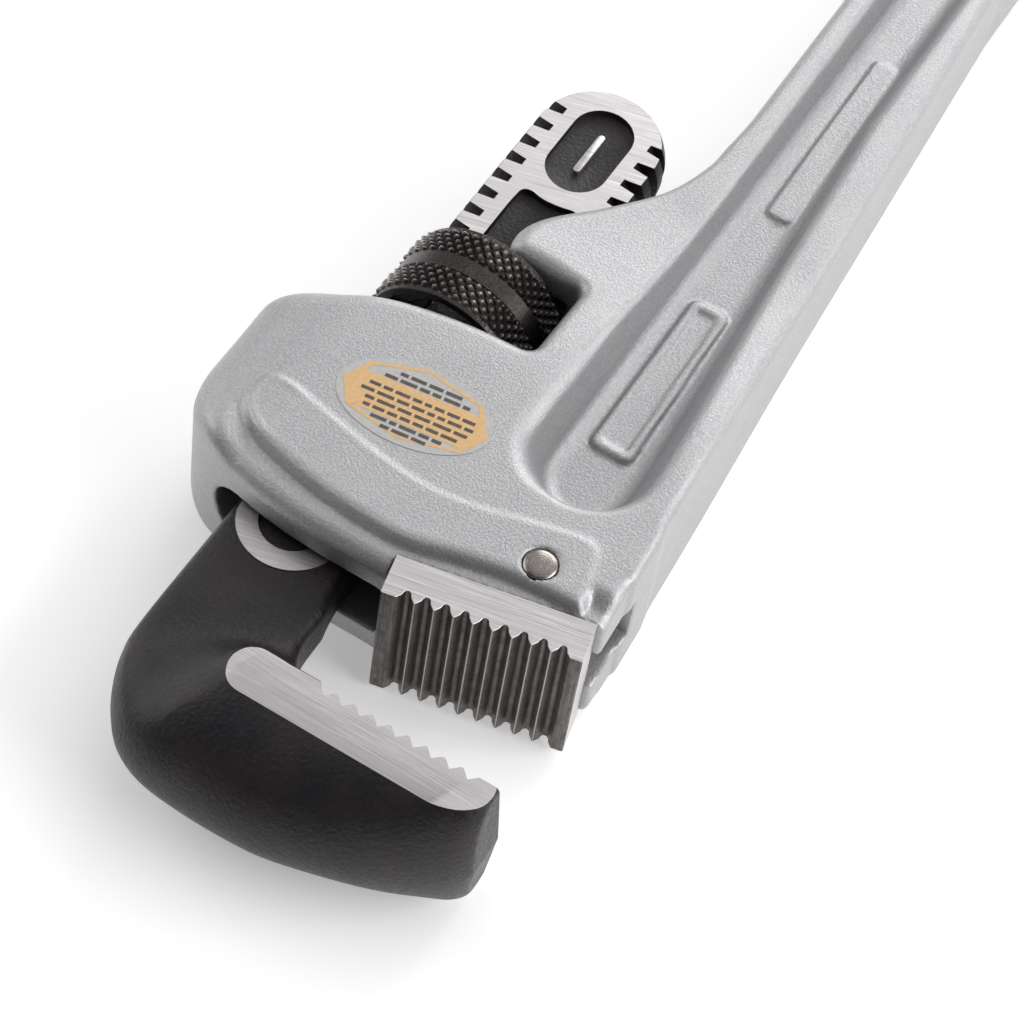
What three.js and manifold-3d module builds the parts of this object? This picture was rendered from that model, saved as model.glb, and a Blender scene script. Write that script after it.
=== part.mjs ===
// Straight pipe wrench with an aluminium I-beam handle, a floating hook jaw and a replaceable heel jaw.
// Millimetres. X runs along the shank from the hook towards the hang hole, Y points away from the
// handle, Z is up. The construction origin is on the shank's axis, at mid thickness.
import * as THREE from 'three';
import { mergeVertices } from 'three/addons/utils/BufferGeometryUtils.js';
import Module from 'manifold-3d';

const wasm = await Module();
wasm.setup();

// ---- Driving dimensions ----

// Shank of the hook jaw: a flat bar, threaded on its two edges
const SHANK_HALF_THICK = 5.8;
const THREAD_OUTER_R = 13.3;
const THREAD_DEPTH = 2.85;
const THREAD_PITCH = 5;
const THREAD_PHASE_X = 2.2; // where the groove's middle crosses the +Y edge
const GROOVE_ROOT_HALF = 0.85;
const GROOVE_FLANK = 0.15; // growth of the half width per millimetre of radius
const THREAD_START_X = 21;
const SHANK_ROUND_X = 100.3; // centre of the ball-shaped end
const NECK_X = -14;
const POCKET_WALL = 7.25; // from the pocket's side to the thread's crest
const POCKET_DEPTH = 1.6;
const END_POCKET_X = [92.4, 101.8];
const LONG_POCKET_X = [-3.7, 76.5];

// Hook of the hook jaw
const JAW_HALF_THICK = 15.1;
const NECK_STEP = 0.3; // the neck is this much thinner than the shank on each side
const NECK_LEFT_STEP = 1.6; // from the thread's crest in to the neck's left side
const NECK_RIGHT_STEP = 0.7; // from the thread's crest out to the neck's right side
const TOOTH_FACE_X = -33.1;
const HOOK_BACK_X = -57.5;
const HOOK_TIP_Y = -59.5;
const HOOK_EDGE_ROUND = 11;
const TOOTH_PITCH = 3.45;
const TOOTH_DEPTH = 1.7;
const HOOK_TEETH = 9;
const HOOK_TEETH_START_Y = -25.5;

// Heel jaw: a toothed block, turned a little from square to the shank, with a tang behind it
const HEEL_CORNER_X = -12.35;
const HEEL_CORNER_STEP = 2.43; // from the tunnel's right wall to the heel jaw's left corner
const HEEL_TILT = THREE.MathUtils.degToRad(12);
const HEEL_LENGTH = 35.7;
const HEEL_DEPTH = 8.02;
const HEEL_HALF_THICK = 15;
const HEEL_FIRST_GROOVE = 4.3;
const HEEL_GROOVES = 9;
const TANG_HALF_THICK = 5;
const TANG_DEPTH = 12.5;
const TANG_START = 8;
const PIN_ALONG = 23.1; // from the block's left end
const PIN_BEHIND = 6.9; // behind the block's back
const PIN_R = 3.05;

// Housing block of the casting
const BLOCK_HALF_THICK = 16;
const BLOCK_LEFT_WALL = 11.35; // beside the tunnel
const BLOCK_EDGE_ROUND = 5;
const PAD_HEIGHT = 0.6;
const TUNNEL_FLAT_ROOM = 1; // over and under the shank
const TUNNEL_SPRING_ROOM = 6.7; // between the shank's edge and the tunnel's right wall
const TUNNEL_LEFT_ROOM = 2.65;
const WINDOW_FLOOR_ROOM = 1.5;

// Adjusting nut
const NUT_FRONT_X = 45.2;
const NUT_WIDTH = 16.85;
const NUT_WALL = 3; // outside the thread's crest
const NUT_GROOVE_DEPTH = 0.6;
const NUT_CHAMFER = 0.9;

// Handle of the casting
const HANDLE_HALF_THICK = 12;
const FINGER_HALF_THICK = 13;
const HANDLE_LEFT_STEP = 4.7; // from the nut window's floor to the handle's left side
const HANDLE_ROOT_WIDTH = 34.7; // at x = 0
const HANDLE_END_WIDTH = 23.4;
const HANDLE_END_X = 252;
const HANDLE_STRAIGHT = 72; // of even width, before the far end
const HANDLE_EDGE_ROUND = 2.5;
const WEB_HALF_THICK = 5;
const FLANGE_WIDTH = 4.8; // with its rounded edge
const RECESS_DRAFT = 3;
const RECESS_START_X = 22;
const RECESS_END_WALL = 30; // from the recess to the handle's far end
const RECESS_ROOT_WIDTH = 14.6; // of the floor
const RECESS_END_WIDTH = 8.8;
const RECESS_TAPER_X = [36, 130];
const HANG_HOLE_R = 5;
const HANG_HOLE_WALL = 7;
const FINGER_TIP_Y = -0.8;

// Springs that press the shank against the tunnel's left wall
const LEAF_THICK = 0.8;
const LEAF_HALF_HEIGHT = 4.5;
const LEAF_FRONT_X = 4;
const LEAF_REAR_X = 40;
const COIL_X = 21;
const COIL_WIRE_R = 0.55;
const COIL_R = 3;
const COIL_TURNS = 6;
const COIL_POCKET_DEPTH = 9;
const RIVET_R = 1.4;
const RIVET_INSET = 4; // from the strip's rear end
const RIVET_LENGTH = 6; // into the wall

// Label on the housing
const LABEL_X = 22;
const LABEL_Y = -7;
const LABEL_HALF_LENGTH = 14;
const LABEL_HALF_WIDTH = 8.5;
const LABEL_THICK = 0.2;
const LABEL_TURN = 0.12; // about Z, in radians

// Clearances
const SLIDE_GAP = 0.3; // between pieces that touch, slide or turn on each other
const NUT_END_GAP = 1.15; // lets the nut rock with the jaw
const LABEL_GAP = 0.05;
const CUT = 60; // reach of a cutter past the casting

// ---- Values that follow ----

const threadRootR = THREAD_OUTER_R - THREAD_DEPTH;
const pocketR = THREAD_OUTER_R - POCKET_WALL;
const neckHalfThick = SHANK_HALF_THICK - NECK_STEP;
const neckLeftY = THREAD_OUTER_R - NECK_LEFT_STEP;
const neckRightY = -(THREAD_OUTER_R + NECK_RIGHT_STEP);
const tunnelHalfHeight = SHANK_HALF_THICK + TUNNEL_FLAT_ROOM;
const tunnelRightY = -(THREAD_OUTER_R + TUNNEL_SPRING_ROOM);
const heelCornerY = tunnelRightY - HEEL_CORNER_STEP;
const tunnelLeftY = THREAD_OUTER_R + TUNNEL_LEFT_ROOM;
const blockLeftY = tunnelLeftY + BLOCK_LEFT_WALL;
const nutR = THREAD_OUTER_R + NUT_WALL;
const windowFrontX = NUT_FRONT_X - SLIDE_GAP * 2;
const windowRearX = NUT_FRONT_X + NUT_WIDTH + NUT_END_GAP;
const windowFloorY = -(nutR + WINDOW_FLOOR_ROOM);
const handleLeftY = windowFloorY - HANDLE_LEFT_STEP;
const handleTaperEndX = HANDLE_END_X - HANDLE_STRAIGHT;
const recessEndX = HANDLE_END_X - RECESS_END_WALL;
const coilFloorY = tunnelRightY - COIL_POCKET_DEPTH;
const leafFaceY = -(THREAD_OUTER_R + SLIDE_GAP);
const ramp = (x, x0, x1) => THREE.MathUtils.clamp((x - x0) / (x1 - x0), 0, 1);
const handleWidth = (x) => THREE.MathUtils.lerp(
  HANDLE_ROOT_WIDTH, HANDLE_END_WIDTH, ramp(x, 0, handleTaperEndX),
);
const handleRightY = (x) => handleLeftY - handleWidth(x);
const hangHoleX = HANDLE_END_X - HANG_HOLE_WALL - HANG_HOLE_R;

// ---- Looks ----

const looks = {
  casting: { color: 0xb9b9be, roughness: 0.5, metalness: 0.8 },
  forging: { color: 0x1d1b1d, roughness: 0.45, metalness: 0.6 },
  nut: { color: 0x262322, roughness: 0.4, metalness: 0.8 },
  heel: { color: 0x4a4340, roughness: 0.45, metalness: 0.8 },
  bright: { color: 0xb8b4b0, roughness: 0.25, metalness: 1 },
  spring: { color: 0x6f7276, roughness: 0.35, metalness: 1 },
  label: { color: 0xd9a862, roughness: 0.35, metalness: 0 },
};

// ---- Solids ----

function solid(geometry) {
  geometry.deleteAttribute('normal');
  geometry.deleteAttribute('uv');
  const merged = mergeVertices(geometry, 1e-4);
  return new wasm.Manifold(new wasm.Mesh({
    numProp: 3,
    vertProperties: Float32Array.from(merged.attributes.position.array),
    triVerts: Uint32Array.from(merged.index.array),
  }));
}

function namedMesh(name, body, look) {
  const { vertProperties, triVerts } = body.getMesh();
  const geometry = new THREE.BufferGeometry();
  geometry.setAttribute('position', new THREE.BufferAttribute(vertProperties, 3));
  geometry.setIndex(new THREE.BufferAttribute(triVerts, 1));
  geometry.computeVertexNormals();
  const mesh = new THREE.Mesh(geometry, new THREE.MeshStandardMaterial(looks[look]));
  mesh.name = name;
  return mesh;
}

// Plan outline extruded from z = low to z = high; its edges are rounded by `out` sideways and
// `up` upwards, inside the outline.
function prism(outline, low, high, out = 0, up = out) {
  const geometry = new THREE.ExtrudeGeometry(outline, {
    depth: high - low - 2 * up,
    curveSegments: 10,
    bevelEnabled: out > 0,
    bevelSize: out,
    bevelOffset: -out,
    bevelThickness: up,
    bevelSegments: 3,
  });
  geometry.translate(0, 0, low + up);
  return solid(geometry);
}

const box = (x0, x1, y0, y1, z0, z1) => solid(
  new THREE.BoxGeometry(x1 - x0, y1 - y0, z1 - z0)
    .translate((x0 + x1) / 2, (y0 + y1) / 2, (z0 + z1) / 2),
);

// Cylinder along Z, standing on (x, y)
const post = (x, y, radius, low, high, sides = 24) => solid(
  new THREE.CylinderGeometry(radius, radius, high - low, sides)
    .rotateX(Math.PI / 2)
    .translate(x, y, (low + high) / 2),
);

// Solid of revolution about X from [x, radius] points
const turned = (profile, segments = 32) => solid(
  new THREE.LatheGeometry(profile.map(([x, r]) => new THREE.Vector2(r, x)), segments)
    .rotateZ(-Math.PI / 2),
);

function polygon(points) {
  return new THREE.Shape(points.map(([x, y]) => new THREE.Vector2(x, y)));
}

// Bar of four-sided section swept along the thread's helix about X. Each section point is
// [offset along x, radius]; the angle is counted from +Y towards +Z.
function helicalBar(section, startAngle, endAngle, steps) {
  const position = [];
  for (let i = 0; i <= steps; i += 1) {
    const angle = startAngle + (endAngle - startAngle) * i / steps;
    const x = THREAD_PHASE_X + THREAD_PITCH * angle / (2 * Math.PI);
    section.forEach(([dx, r]) => position.push(x + dx, r * Math.cos(angle), r * Math.sin(angle)));
  }
  const index = [0, 2, 1, 0, 3, 2];
  const last = steps * 4;
  index.push(last, last + 1, last + 2, last, last + 2, last + 3);
  for (let i = 0; i < steps; i += 1) {
    for (let k = 0; k < 4; k += 1) {
      const a = i * 4 + k;
      const b = i * 4 + (k + 1) % 4;
      index.push(a, b, a + 4, b, b + 4, a + 4);
    }
  }
  const geometry = new THREE.BufferGeometry();
  geometry.setAttribute('position', new THREE.Float32BufferAttribute(position, 3));
  geometry.setIndex(index);
  return solid(geometry);
}

// Places heel-jaw coordinates (along the teeth, back from them) in plan
function heelPoint(along, back) {
  const sin = Math.sin(HEEL_TILT);
  const cos = Math.cos(HEEL_TILT);
  return [HEEL_CORNER_X + along * sin + back * cos, heelCornerY - along * cos + back * sin];
}

function heelBlock(along0, along1, back0, back1, halfThick) {
  const corners = [[along0, back0], [along1, back0], [along1, back1], [along0, back1]];
  return prism(polygon(corners.map(([a, b]) => heelPoint(a, b))), -halfThick, halfThick);
}

// ---- Hook jaw ----

// The forging seen from above, filled in on the mouth side, where it is cut back afterwards
function hookOutline() {
  const shape = new THREE.Shape();
  shape.moveTo(NECK_X + 3, neckLeftY);
  shape.lineTo(NECK_X - 19, neckLeftY);
  shape.splineThru([
    [HOOK_BACK_X + 17, 10], [HOOK_BACK_X + 10, 5.2], [HOOK_BACK_X + 3.6, -3], [HOOK_BACK_X, -18],
    [HOOK_BACK_X + 1.3, -30], [HOOK_BACK_X + 7.5, -48.5], [HOOK_BACK_X + 16, -64],
  ].map(([x, y]) => new THREE.Vector2(x, y)));
  shape.lineTo(NECK_X + 3, HOOK_TIP_Y - 20);
  return shape;
}

function throatOutline() {
  const shape = new THREE.Shape();
  shape.moveTo(NECK_X + CUT, neckRightY);
  shape.lineTo(NECK_X - 6, neckRightY);
  shape.quadraticCurveTo(TOOTH_FACE_X + 5, neckRightY, TOOTH_FACE_X, neckRightY - 9);
  shape.lineTo(TOOTH_FACE_X, HOOK_TIP_Y - CUT);
  shape.lineTo(NECK_X + CUT, HOOK_TIP_Y - CUT);
  return shape;
}

function beyondTipOutline() {
  const shape = new THREE.Shape();
  shape.moveTo(TOOTH_FACE_X + CUT, HOOK_TIP_Y);
  shape.lineTo(TOOTH_FACE_X - 4, HOOK_TIP_Y);
  shape.quadraticCurveTo(TOOTH_FACE_X - 10, HOOK_TIP_Y, TOOTH_FACE_X - 13, HOOK_TIP_Y + 5);
  shape.lineTo(HOOK_BACK_X - CUT, HOOK_TIP_Y + 9);
  shape.lineTo(HOOK_BACK_X - CUT, HOOK_TIP_Y - CUT);
  shape.lineTo(TOOTH_FACE_X + CUT, HOOK_TIP_Y - CUT);
  return shape;
}

// Side view: full thickness over the hook, falling to the thin neck that enters the tunnel
function hookSideView() {
  const fall = TOOTH_FACE_X - 2.4;
  const foot = TOOTH_FACE_X + 7.1;
  const shape = new THREE.Shape();
  shape.moveTo(HOOK_BACK_X - 5, JAW_HALF_THICK);
  shape.lineTo(fall, JAW_HALF_THICK);
  shape.bezierCurveTo(fall + 4.5, JAW_HALF_THICK, foot - 5, neckHalfThick, foot, neckHalfThick);
  shape.lineTo(CUT, neckHalfThick);
  shape.lineTo(CUT, -neckHalfThick);
  shape.lineTo(foot, -neckHalfThick);
  shape.bezierCurveTo(foot - 5, -neckHalfThick, fall + 4.5, -JAW_HALF_THICK, fall, -JAW_HALF_THICK);
  shape.lineTo(HOOK_BACK_X - 5, -JAW_HALF_THICK);
  const geometry = new THREE.ExtrudeGeometry(shape, {
    depth: 2 * CUT,
    bevelEnabled: false,
    curveSegments: 8,
  });
  return solid(geometry.rotateX(Math.PI / 2).translate(0, CUT * 0.5, 0));
}

// V notches across the tooth face, from the throat to the tip
function hookTeethCutter() {
  let cutter = null;
  for (let i = 0; i < HOOK_TEETH; i += 1) {
    const y = HOOK_TEETH_START_Y - i * TOOTH_PITCH;
    const notch = prism(polygon([
      [TOOTH_FACE_X + 1, y - TOOTH_PITCH * 0.7],
      [TOOTH_FACE_X + 1, y + TOOTH_PITCH * 0.7],
      [TOOTH_FACE_X - TOOTH_DEPTH, y],
    ]), -CUT, CUT);
    cutter = cutter ? cutter.add(notch) : notch;
  }
  return cutter;
}

function threadGrooves() {
  const top = THREAD_OUTER_R + 1;
  const topHalf = GROOVE_ROOT_HALF + GROOVE_FLANK * (top - threadRootR);
  const section = [
    [-GROOVE_ROOT_HALF, threadRootR], [GROOVE_ROOT_HALF, threadRootR], [topHalf, top], [-topHalf, top],
  ];
  const reach = Math.asin(SHANK_HALF_THICK / threadRootR) + 0.1;
  const first = Math.ceil((THREAD_START_X - THREAD_PHASE_X) / THREAD_PITCH);
  const last = Math.floor((SHANK_ROUND_X + THREAD_OUTER_R * 0.3 - THREAD_PHASE_X) / THREAD_PITCH);
  let cutter = null;
  for (let turn = first; turn <= last; turn += 1) {
    [0, Math.PI].forEach((edge) => {
      const middle = turn * 2 * Math.PI + edge;
      const groove = helicalBar(section, middle - reach, middle + reach, 3);
      cutter = cutter ? cutter.add(groove) : groove;
    });
  }
  return cutter;
}

function slotOutline(x0, x1, radius) {
  const shape = new THREE.Shape();
  shape.absarc(x0, 0, radius, Math.PI / 2, 1.5 * Math.PI, false);
  shape.absarc(x1, 0, radius, -Math.PI / 2, Math.PI / 2, false);
  return shape;
}

function shank() {
  const steps = 6;
  const profile = [[NECK_X - 4, 0], [NECK_X - 4, THREAD_OUTER_R]];
  for (let i = 0; i <= steps; i += 1) {
    const angle = Math.PI / 2 * i / steps;
    profile.push([SHANK_ROUND_X + THREAD_OUTER_R * Math.sin(angle), THREAD_OUTER_R * Math.cos(angle)]);
  }
  profile[profile.length - 1][1] = 0;
  const slab = box(
    NECK_X - 4, SHANK_ROUND_X + CUT, -THREAD_OUTER_R, neckLeftY + 2, -SHANK_HALF_THICK, SHANK_HALF_THICK,
  );
  let bar = turned(profile, 32).intersect(slab).subtract(threadGrooves());
  [1, -1].forEach((side) => {
    const floor = side * (SHANK_HALF_THICK - POCKET_DEPTH);
    const low = Math.min(floor, side * CUT);
    const high = Math.max(floor, side * CUT);
    bar = bar.subtract(prism(slotOutline(...END_POCKET_X, pocketR), low, high));
    bar = bar.subtract(prism(slotOutline(...LONG_POCKET_X, pocketR), low, high));
  });
  return bar;
}

function hookJaw() {
  const hook = prism(
    hookOutline(), -JAW_HALF_THICK - 1, JAW_HALF_THICK + 1, HOOK_EDGE_ROUND, HOOK_EDGE_ROUND + 2,
  )
    .intersect(hookSideView())
    .subtract(prism(throatOutline(), -CUT, CUT))
    .subtract(prism(beyondTipOutline(), -CUT, CUT))
    .subtract(hookTeethCutter());
  return hook.add(shank());
}

// ---- Adjusting nut ----

function adjustingNut() {
  const rear = NUT_FRONT_X + NUT_WIDTH;
  const middle = NUT_FRONT_X + NUT_WIDTH / 2;
  const bore = THREAD_OUTER_R + SLIDE_GAP;
  const low = nutR - NUT_GROOVE_DEPTH;
  const ring = turned([
    [NUT_FRONT_X, bore], [NUT_FRONT_X, nutR - NUT_CHAMFER], [NUT_FRONT_X + NUT_CHAMFER, nutR],
    [middle - 2, nutR], [middle - 1.7, low], [middle + 1.7, low], [middle + 2, nutR],
    [rear - NUT_CHAMFER, nutR], [rear, nutR - NUT_CHAMFER], [rear, bore], [NUT_FRONT_X, bore],
  ], 40);
  const crest = threadRootR + SLIDE_GAP * 1.5;
  const crestHalf = GROOVE_ROOT_HALF - SLIDE_GAP;
  const root = bore + SLIDE_GAP;
  const rootHalf = crestHalf + GROOVE_FLANK * (root - crest);
  const section = [[-crestHalf, crest], [crestHalf, crest], [rootHalf, root], [-rootHalf, root]];
  const angleAt = (x) => 2 * Math.PI * (x - THREAD_PHASE_X) / THREAD_PITCH;
  const start = angleAt(NUT_FRONT_X + 1);
  const end = angleAt(rear - 1);
  return ring.add(helicalBar(section, start, end, Math.round((end - start) / 0.4)));
}

// ---- Heel jaw and its pin ----

function heelJaw() {
  let body = heelBlock(0, HEEL_LENGTH, 0, HEEL_DEPTH, HEEL_HALF_THICK);
  const tangRear = HEEL_DEPTH + TANG_DEPTH;
  body = body.add(heelBlock(TANG_START, HEEL_LENGTH - 1, HEEL_DEPTH - 1, tangRear, TANG_HALF_THICK));
  for (let i = 0; i < HEEL_GROOVES; i += 1) {
    const middle = HEEL_FIRST_GROOVE + i * TOOTH_PITCH;
    const notch = prism(polygon([
      heelPoint(middle - TOOTH_PITCH * 0.48, -0.5),
      heelPoint(middle - TOOTH_PITCH * 0.2, TOOTH_DEPTH),
      heelPoint(middle + TOOTH_PITCH * 0.2, TOOTH_DEPTH),
      heelPoint(middle + TOOTH_PITCH * 0.48, -0.5),
    ]), -CUT, CUT);
    body = body.subtract(notch);
  }
  return body.subtract(post(...pinPlace(), PIN_R + SLIDE_GAP, -CUT, CUT));
}

function pinPlace() {
  return heelPoint(PIN_ALONG, HEEL_DEPTH + PIN_BEHIND);
}

function heelJawPin() {
  const face = BLOCK_HALF_THICK + PAD_HEIGHT;
  const dome = [[-face, 0], [-face + 0.2, PIN_R * 0.6], [-face + 0.7, PIN_R]];
  const profile = [...dome, ...dome.map(([x, r]) => [-x, r]).reverse()];
  const [x, y] = pinPlace();
  const pin = new THREE.LatheGeometry(profile.map(([z, r]) => new THREE.Vector2(r, z)), 24);
  return solid(pin.rotateX(Math.PI / 2).translate(x, y, 0));
}

// ---- Casting: housing block and I-beam handle ----

function blockOutline() {
  const rear = windowFrontX;
  const shape = new THREE.Shape();
  shape.moveTo(-12, -62);
  shape.lineTo(-7, -10);
  shape.quadraticCurveTo(-6.8, 4, -2.8, 16);
  shape.quadraticCurveTo(1.5, blockLeftY, 13, blockLeftY);
  shape.lineTo(rear - 17, blockLeftY);
  shape.quadraticCurveTo(rear - 10.5, blockLeftY, rear - 7, 17);
  shape.quadraticCurveTo(rear - 0.6, 2, rear, -14);
  shape.lineTo(rear + 1.6, -32);
  shape.lineTo(36, -50);
  shape.lineTo(24, handleRightY(24));
  shape.lineTo(1, handleRightY(1));
  return shape;
}

function handleOutline() {
  const endR = HANDLE_END_WIDTH / 2;
  const endX = HANDLE_END_X - endR;
  const shape = new THREE.Shape();
  shape.moveTo(14, handleLeftY);
  shape.lineTo(40, windowFloorY);
  shape.lineTo(windowRearX + 20, windowFloorY);
  shape.lineTo(windowRearX + 41, handleLeftY);
  shape.lineTo(endX, handleLeftY);
  shape.absarc(endX, handleLeftY - endR, endR, Math.PI / 2, -Math.PI / 2, true);
  shape.lineTo(handleTaperEndX, handleRightY(handleTaperEndX));
  shape.lineTo(14, handleRightY(14));
  return shape;
}

// The finger curves forward over both flat faces of the shank, behind the nut
function fingerOutline() {
  const front = windowRearX;
  const shape = new THREE.Shape();
  shape.moveTo(front, -40);
  shape.lineTo(front, FINGER_TIP_Y - 3.5);
  shape.quadraticCurveTo(front, FINGER_TIP_Y, front + 5, FINGER_TIP_Y);
  shape.quadraticCurveTo(front + 10, FINGER_TIP_Y, front + 17, -7.5);
  shape.lineTo(front + 25, -14.3);
  shape.quadraticCurveTo(front + 34, -22, front + 46, handleLeftY);
  shape.lineTo(front + 60, handleLeftY - 3);
  shape.lineTo(front + 30, -40);
  return shape;
}

// Recess of the I-beam: the floor's outline; the walls lean outwards by the draft
function recessCutter() {
  const leftY = handleLeftY - FLANGE_WIDTH - RECESS_DRAFT;
  const startR = RECESS_ROOT_WIDTH / 2;
  const startX = RECESS_START_X + RECESS_DRAFT + startR;
  const endR = RECESS_END_WIDTH / 2;
  const shape = new THREE.Shape();
  shape.absarc(startX, leftY - startR, startR, Math.PI / 2, 1.5 * Math.PI, false);
  shape.lineTo(RECESS_TAPER_X[0], leftY - RECESS_ROOT_WIDTH);
  shape.lineTo(RECESS_TAPER_X[1], leftY - RECESS_END_WIDTH);
  shape.absarc(recessEndX - endR, leftY - endR, endR, -Math.PI / 2, Math.PI / 2, false);
  const wall = HANDLE_HALF_THICK - WEB_HALF_THICK;
  const depth = BLOCK_HALF_THICK - HANDLE_HALF_THICK + 6;
  const recess = (low) => solid(new THREE.ExtrudeGeometry(shape, {
    depth, curveSegments: 8, bevelSize: RECESS_DRAFT, bevelThickness: wall, bevelSegments: 1,
  }).translate(0, 0, low + wall));
  return recess(WEB_HALF_THICK).add(recess(-WEB_HALF_THICK - depth - 2 * wall));
}

// Slot for the shank: straight right wall, round left wall, through the block
function tunnelCutter() {
  const roundY = tunnelLeftY - tunnelHalfHeight;
  const reachX = windowFrontX + 8;
  const flat = box(-CUT, reachX, tunnelRightY, roundY, -tunnelHalfHeight, tunnelHalfHeight);
  const round = solid(
    new THREE.CylinderGeometry(tunnelHalfHeight, tunnelHalfHeight, CUT + reachX, 24)
      .rotateZ(Math.PI / 2)
      .translate((reachX - CUT) / 2, roundY, 0),
  );
  return flat.add(round);
}

function nutWindowCutter() {
  return box(windowFrontX, windowRearX, windowFloorY, CUT, -CUT, CUT);
}

function rearSlotCutter() {
  const floorY = -(THREAD_OUTER_R + 1.6);
  const half = SHANK_HALF_THICK + SLIDE_GAP * 1.5;
  return box(windowRearX - 5, HANDLE_END_X, floorY, CUT, -half, half);
}

// Raised pad along the front of both faces
function padOutline() {
  const shape = new THREE.Shape();
  shape.moveTo(5, -50);
  shape.lineTo(17, -49);
  shape.quadraticCurveTo(8.5, -20, 14, 16.5);
  shape.quadraticCurveTo(5, 18, 2.5, 10);
  shape.quadraticCurveTo(-3, -12, 0.5, -29);
  return shape;
}

function springPocketCutter() {
  const r = COIL_R + COIL_WIRE_R + 0.5;
  const length = COIL_POCKET_DEPTH + 1;
  const cutter = new THREE.CylinderGeometry(r, r, length, 20).translate(COIL_X, coilFloorY + length / 2, 0);
  return solid(cutter);
}

function handleHousing() {
  let casting = prism(blockOutline(), -BLOCK_HALF_THICK, BLOCK_HALF_THICK, BLOCK_EDGE_ROUND)
    .add(prism(handleOutline(), -HANDLE_HALF_THICK, HANDLE_HALF_THICK, HANDLE_EDGE_ROUND))
    .add(prism(fingerOutline(), -FINGER_HALF_THICK, FINGER_HALF_THICK, HANDLE_EDGE_ROUND));
  const padTop = BLOCK_HALF_THICK + PAD_HEIGHT;
  casting = casting.add(prism(padOutline(), -padTop, padTop));
  casting = casting.subtract(recessCutter());
  const cutters = [
    tunnelCutter(),
    nutWindowCutter(),
    rearSlotCutter(),
    heelBlock(-SLIDE_GAP, CUT, -CUT, HEEL_DEPTH + SLIDE_GAP, CUT),
    heelBlock(
      TANG_START - SLIDE_GAP, CUT, 0, HEEL_DEPTH + TANG_DEPTH + SLIDE_GAP * 2, TANG_HALF_THICK + SLIDE_GAP,
    ),
    post(...pinPlace(), PIN_R + SLIDE_GAP, -CUT, CUT),
    post(hangHoleX, handleLeftY - HANDLE_END_WIDTH / 2, HANG_HOLE_R, -CUT, CUT),
    springPocketCutter(),
    rivetBody(RIVET_R + SLIDE_GAP, 1),
  ];
  cutters.forEach((cutter) => {
    casting = casting.subtract(cutter);
  });
  return casting;
}

// ---- Springs ----

// Steel strip: riveted to the tunnel's right wall at its rear, bowed against the shank's edge
function flatSpring() {
  const wall = tunnelRightY + SLIDE_GAP;
  const face = leafFaceY - LEAF_THICK;
  const shape = new THREE.Shape();
  shape.moveTo(LEAF_REAR_X, wall);
  shape.lineTo(LEAF_REAR_X, wall + LEAF_THICK);
  shape.lineTo(LEAF_REAR_X - 8, wall + LEAF_THICK);
  shape.quadraticCurveTo(COIL_X + 6, leafFaceY, COIL_X, leafFaceY);
  shape.lineTo(LEAF_FRONT_X + 5, leafFaceY);
  shape.quadraticCurveTo(LEAF_FRONT_X + 2, leafFaceY, LEAF_FRONT_X, leafFaceY - 1.5);
  shape.lineTo(LEAF_FRONT_X, face - 1.5);
  shape.quadraticCurveTo(LEAF_FRONT_X + 2, face, LEAF_FRONT_X + 5, face);
  shape.lineTo(COIL_X, face);
  shape.quadraticCurveTo(COIL_X + 6, face, LEAF_REAR_X - 8, wall);
  return prism(shape, -LEAF_HALF_HEIGHT, LEAF_HALF_HEIGHT).subtract(rivetBody(RIVET_R + SLIDE_GAP, 1));
}

function coilSpring() {
  const low = coilFloorY + SLIDE_GAP + COIL_WIRE_R;
  const high = leafFaceY - LEAF_THICK - SLIDE_GAP - COIL_WIRE_R;
  const points = [];
  const steps = COIL_TURNS * 10;
  for (let i = 0; i <= steps; i += 1) {
    const angle = 2 * Math.PI * COIL_TURNS * i / steps;
    points.push(new THREE.Vector3(
      COIL_X + COIL_R * Math.cos(angle), low + (high - low) * i / steps, COIL_R * Math.sin(angle),
    ));
  }
  const wire = new THREE.Shape();
  wire.absarc(0, 0, COIL_WIRE_R, 0, 2 * Math.PI, false);
  return solid(new THREE.ExtrudeGeometry(wire, {
    steps, curveSegments: 3, bevelEnabled: false, extrudePath: new THREE.CatmullRomCurve3(points),
  }));
}

// Rivet along Y, through the strip's rear end into the wall
function rivetBody(radius, headRadius) {
  const wall = tunnelRightY + SLIDE_GAP + LEAF_THICK;
  const foot = wall - RIVET_LENGTH;
  const profile = [
    [foot, 0], [foot, radius], [wall + SLIDE_GAP, radius], [wall + SLIDE_GAP, headRadius * 1.7],
    [wall + 0.9, headRadius * 1.3], [wall + 1.1, 0],
  ];
  const geometry = new THREE.LatheGeometry(profile.map(([y, r]) => new THREE.Vector2(r, y)), 16);
  return solid(geometry.translate(LEAF_REAR_X - RIVET_INSET, 0, 0));
}

// ---- Label ----

function label() {
  const shape = new THREE.Shape();
  shape.absellipse(0, 0, LABEL_HALF_WIDTH, LABEL_HALF_LENGTH, 0, 2 * Math.PI, false, LABEL_TURN);
  const face = BLOCK_HALF_THICK + LABEL_GAP;
  const body = prism(shape, face, face + LABEL_THICK);
  return body.translate([LABEL_X, LABEL_Y, 0]);
}

// ---- Assembly ----

const wrench = new THREE.Group();
wrench.add(
  namedMesh('handle_housing', handleHousing(), 'casting'),
  namedMesh('hook_jaw', hookJaw(), 'forging'),
  namedMesh('adjusting_nut', adjustingNut(), 'nut'),
  namedMesh('heel_jaw', heelJaw(), 'heel'),
  namedMesh('heel_jaw_pin', heelJawPin(), 'bright'),
  namedMesh('flat_spring', flatSpring(), 'spring'),
  namedMesh('coil_spring', coilSpring(), 'spring'),
  namedMesh('spring_rivet', rivetBody(RIVET_R, 1.6), 'bright'),
  namedMesh('label', label(), 'label'),
);

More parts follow.
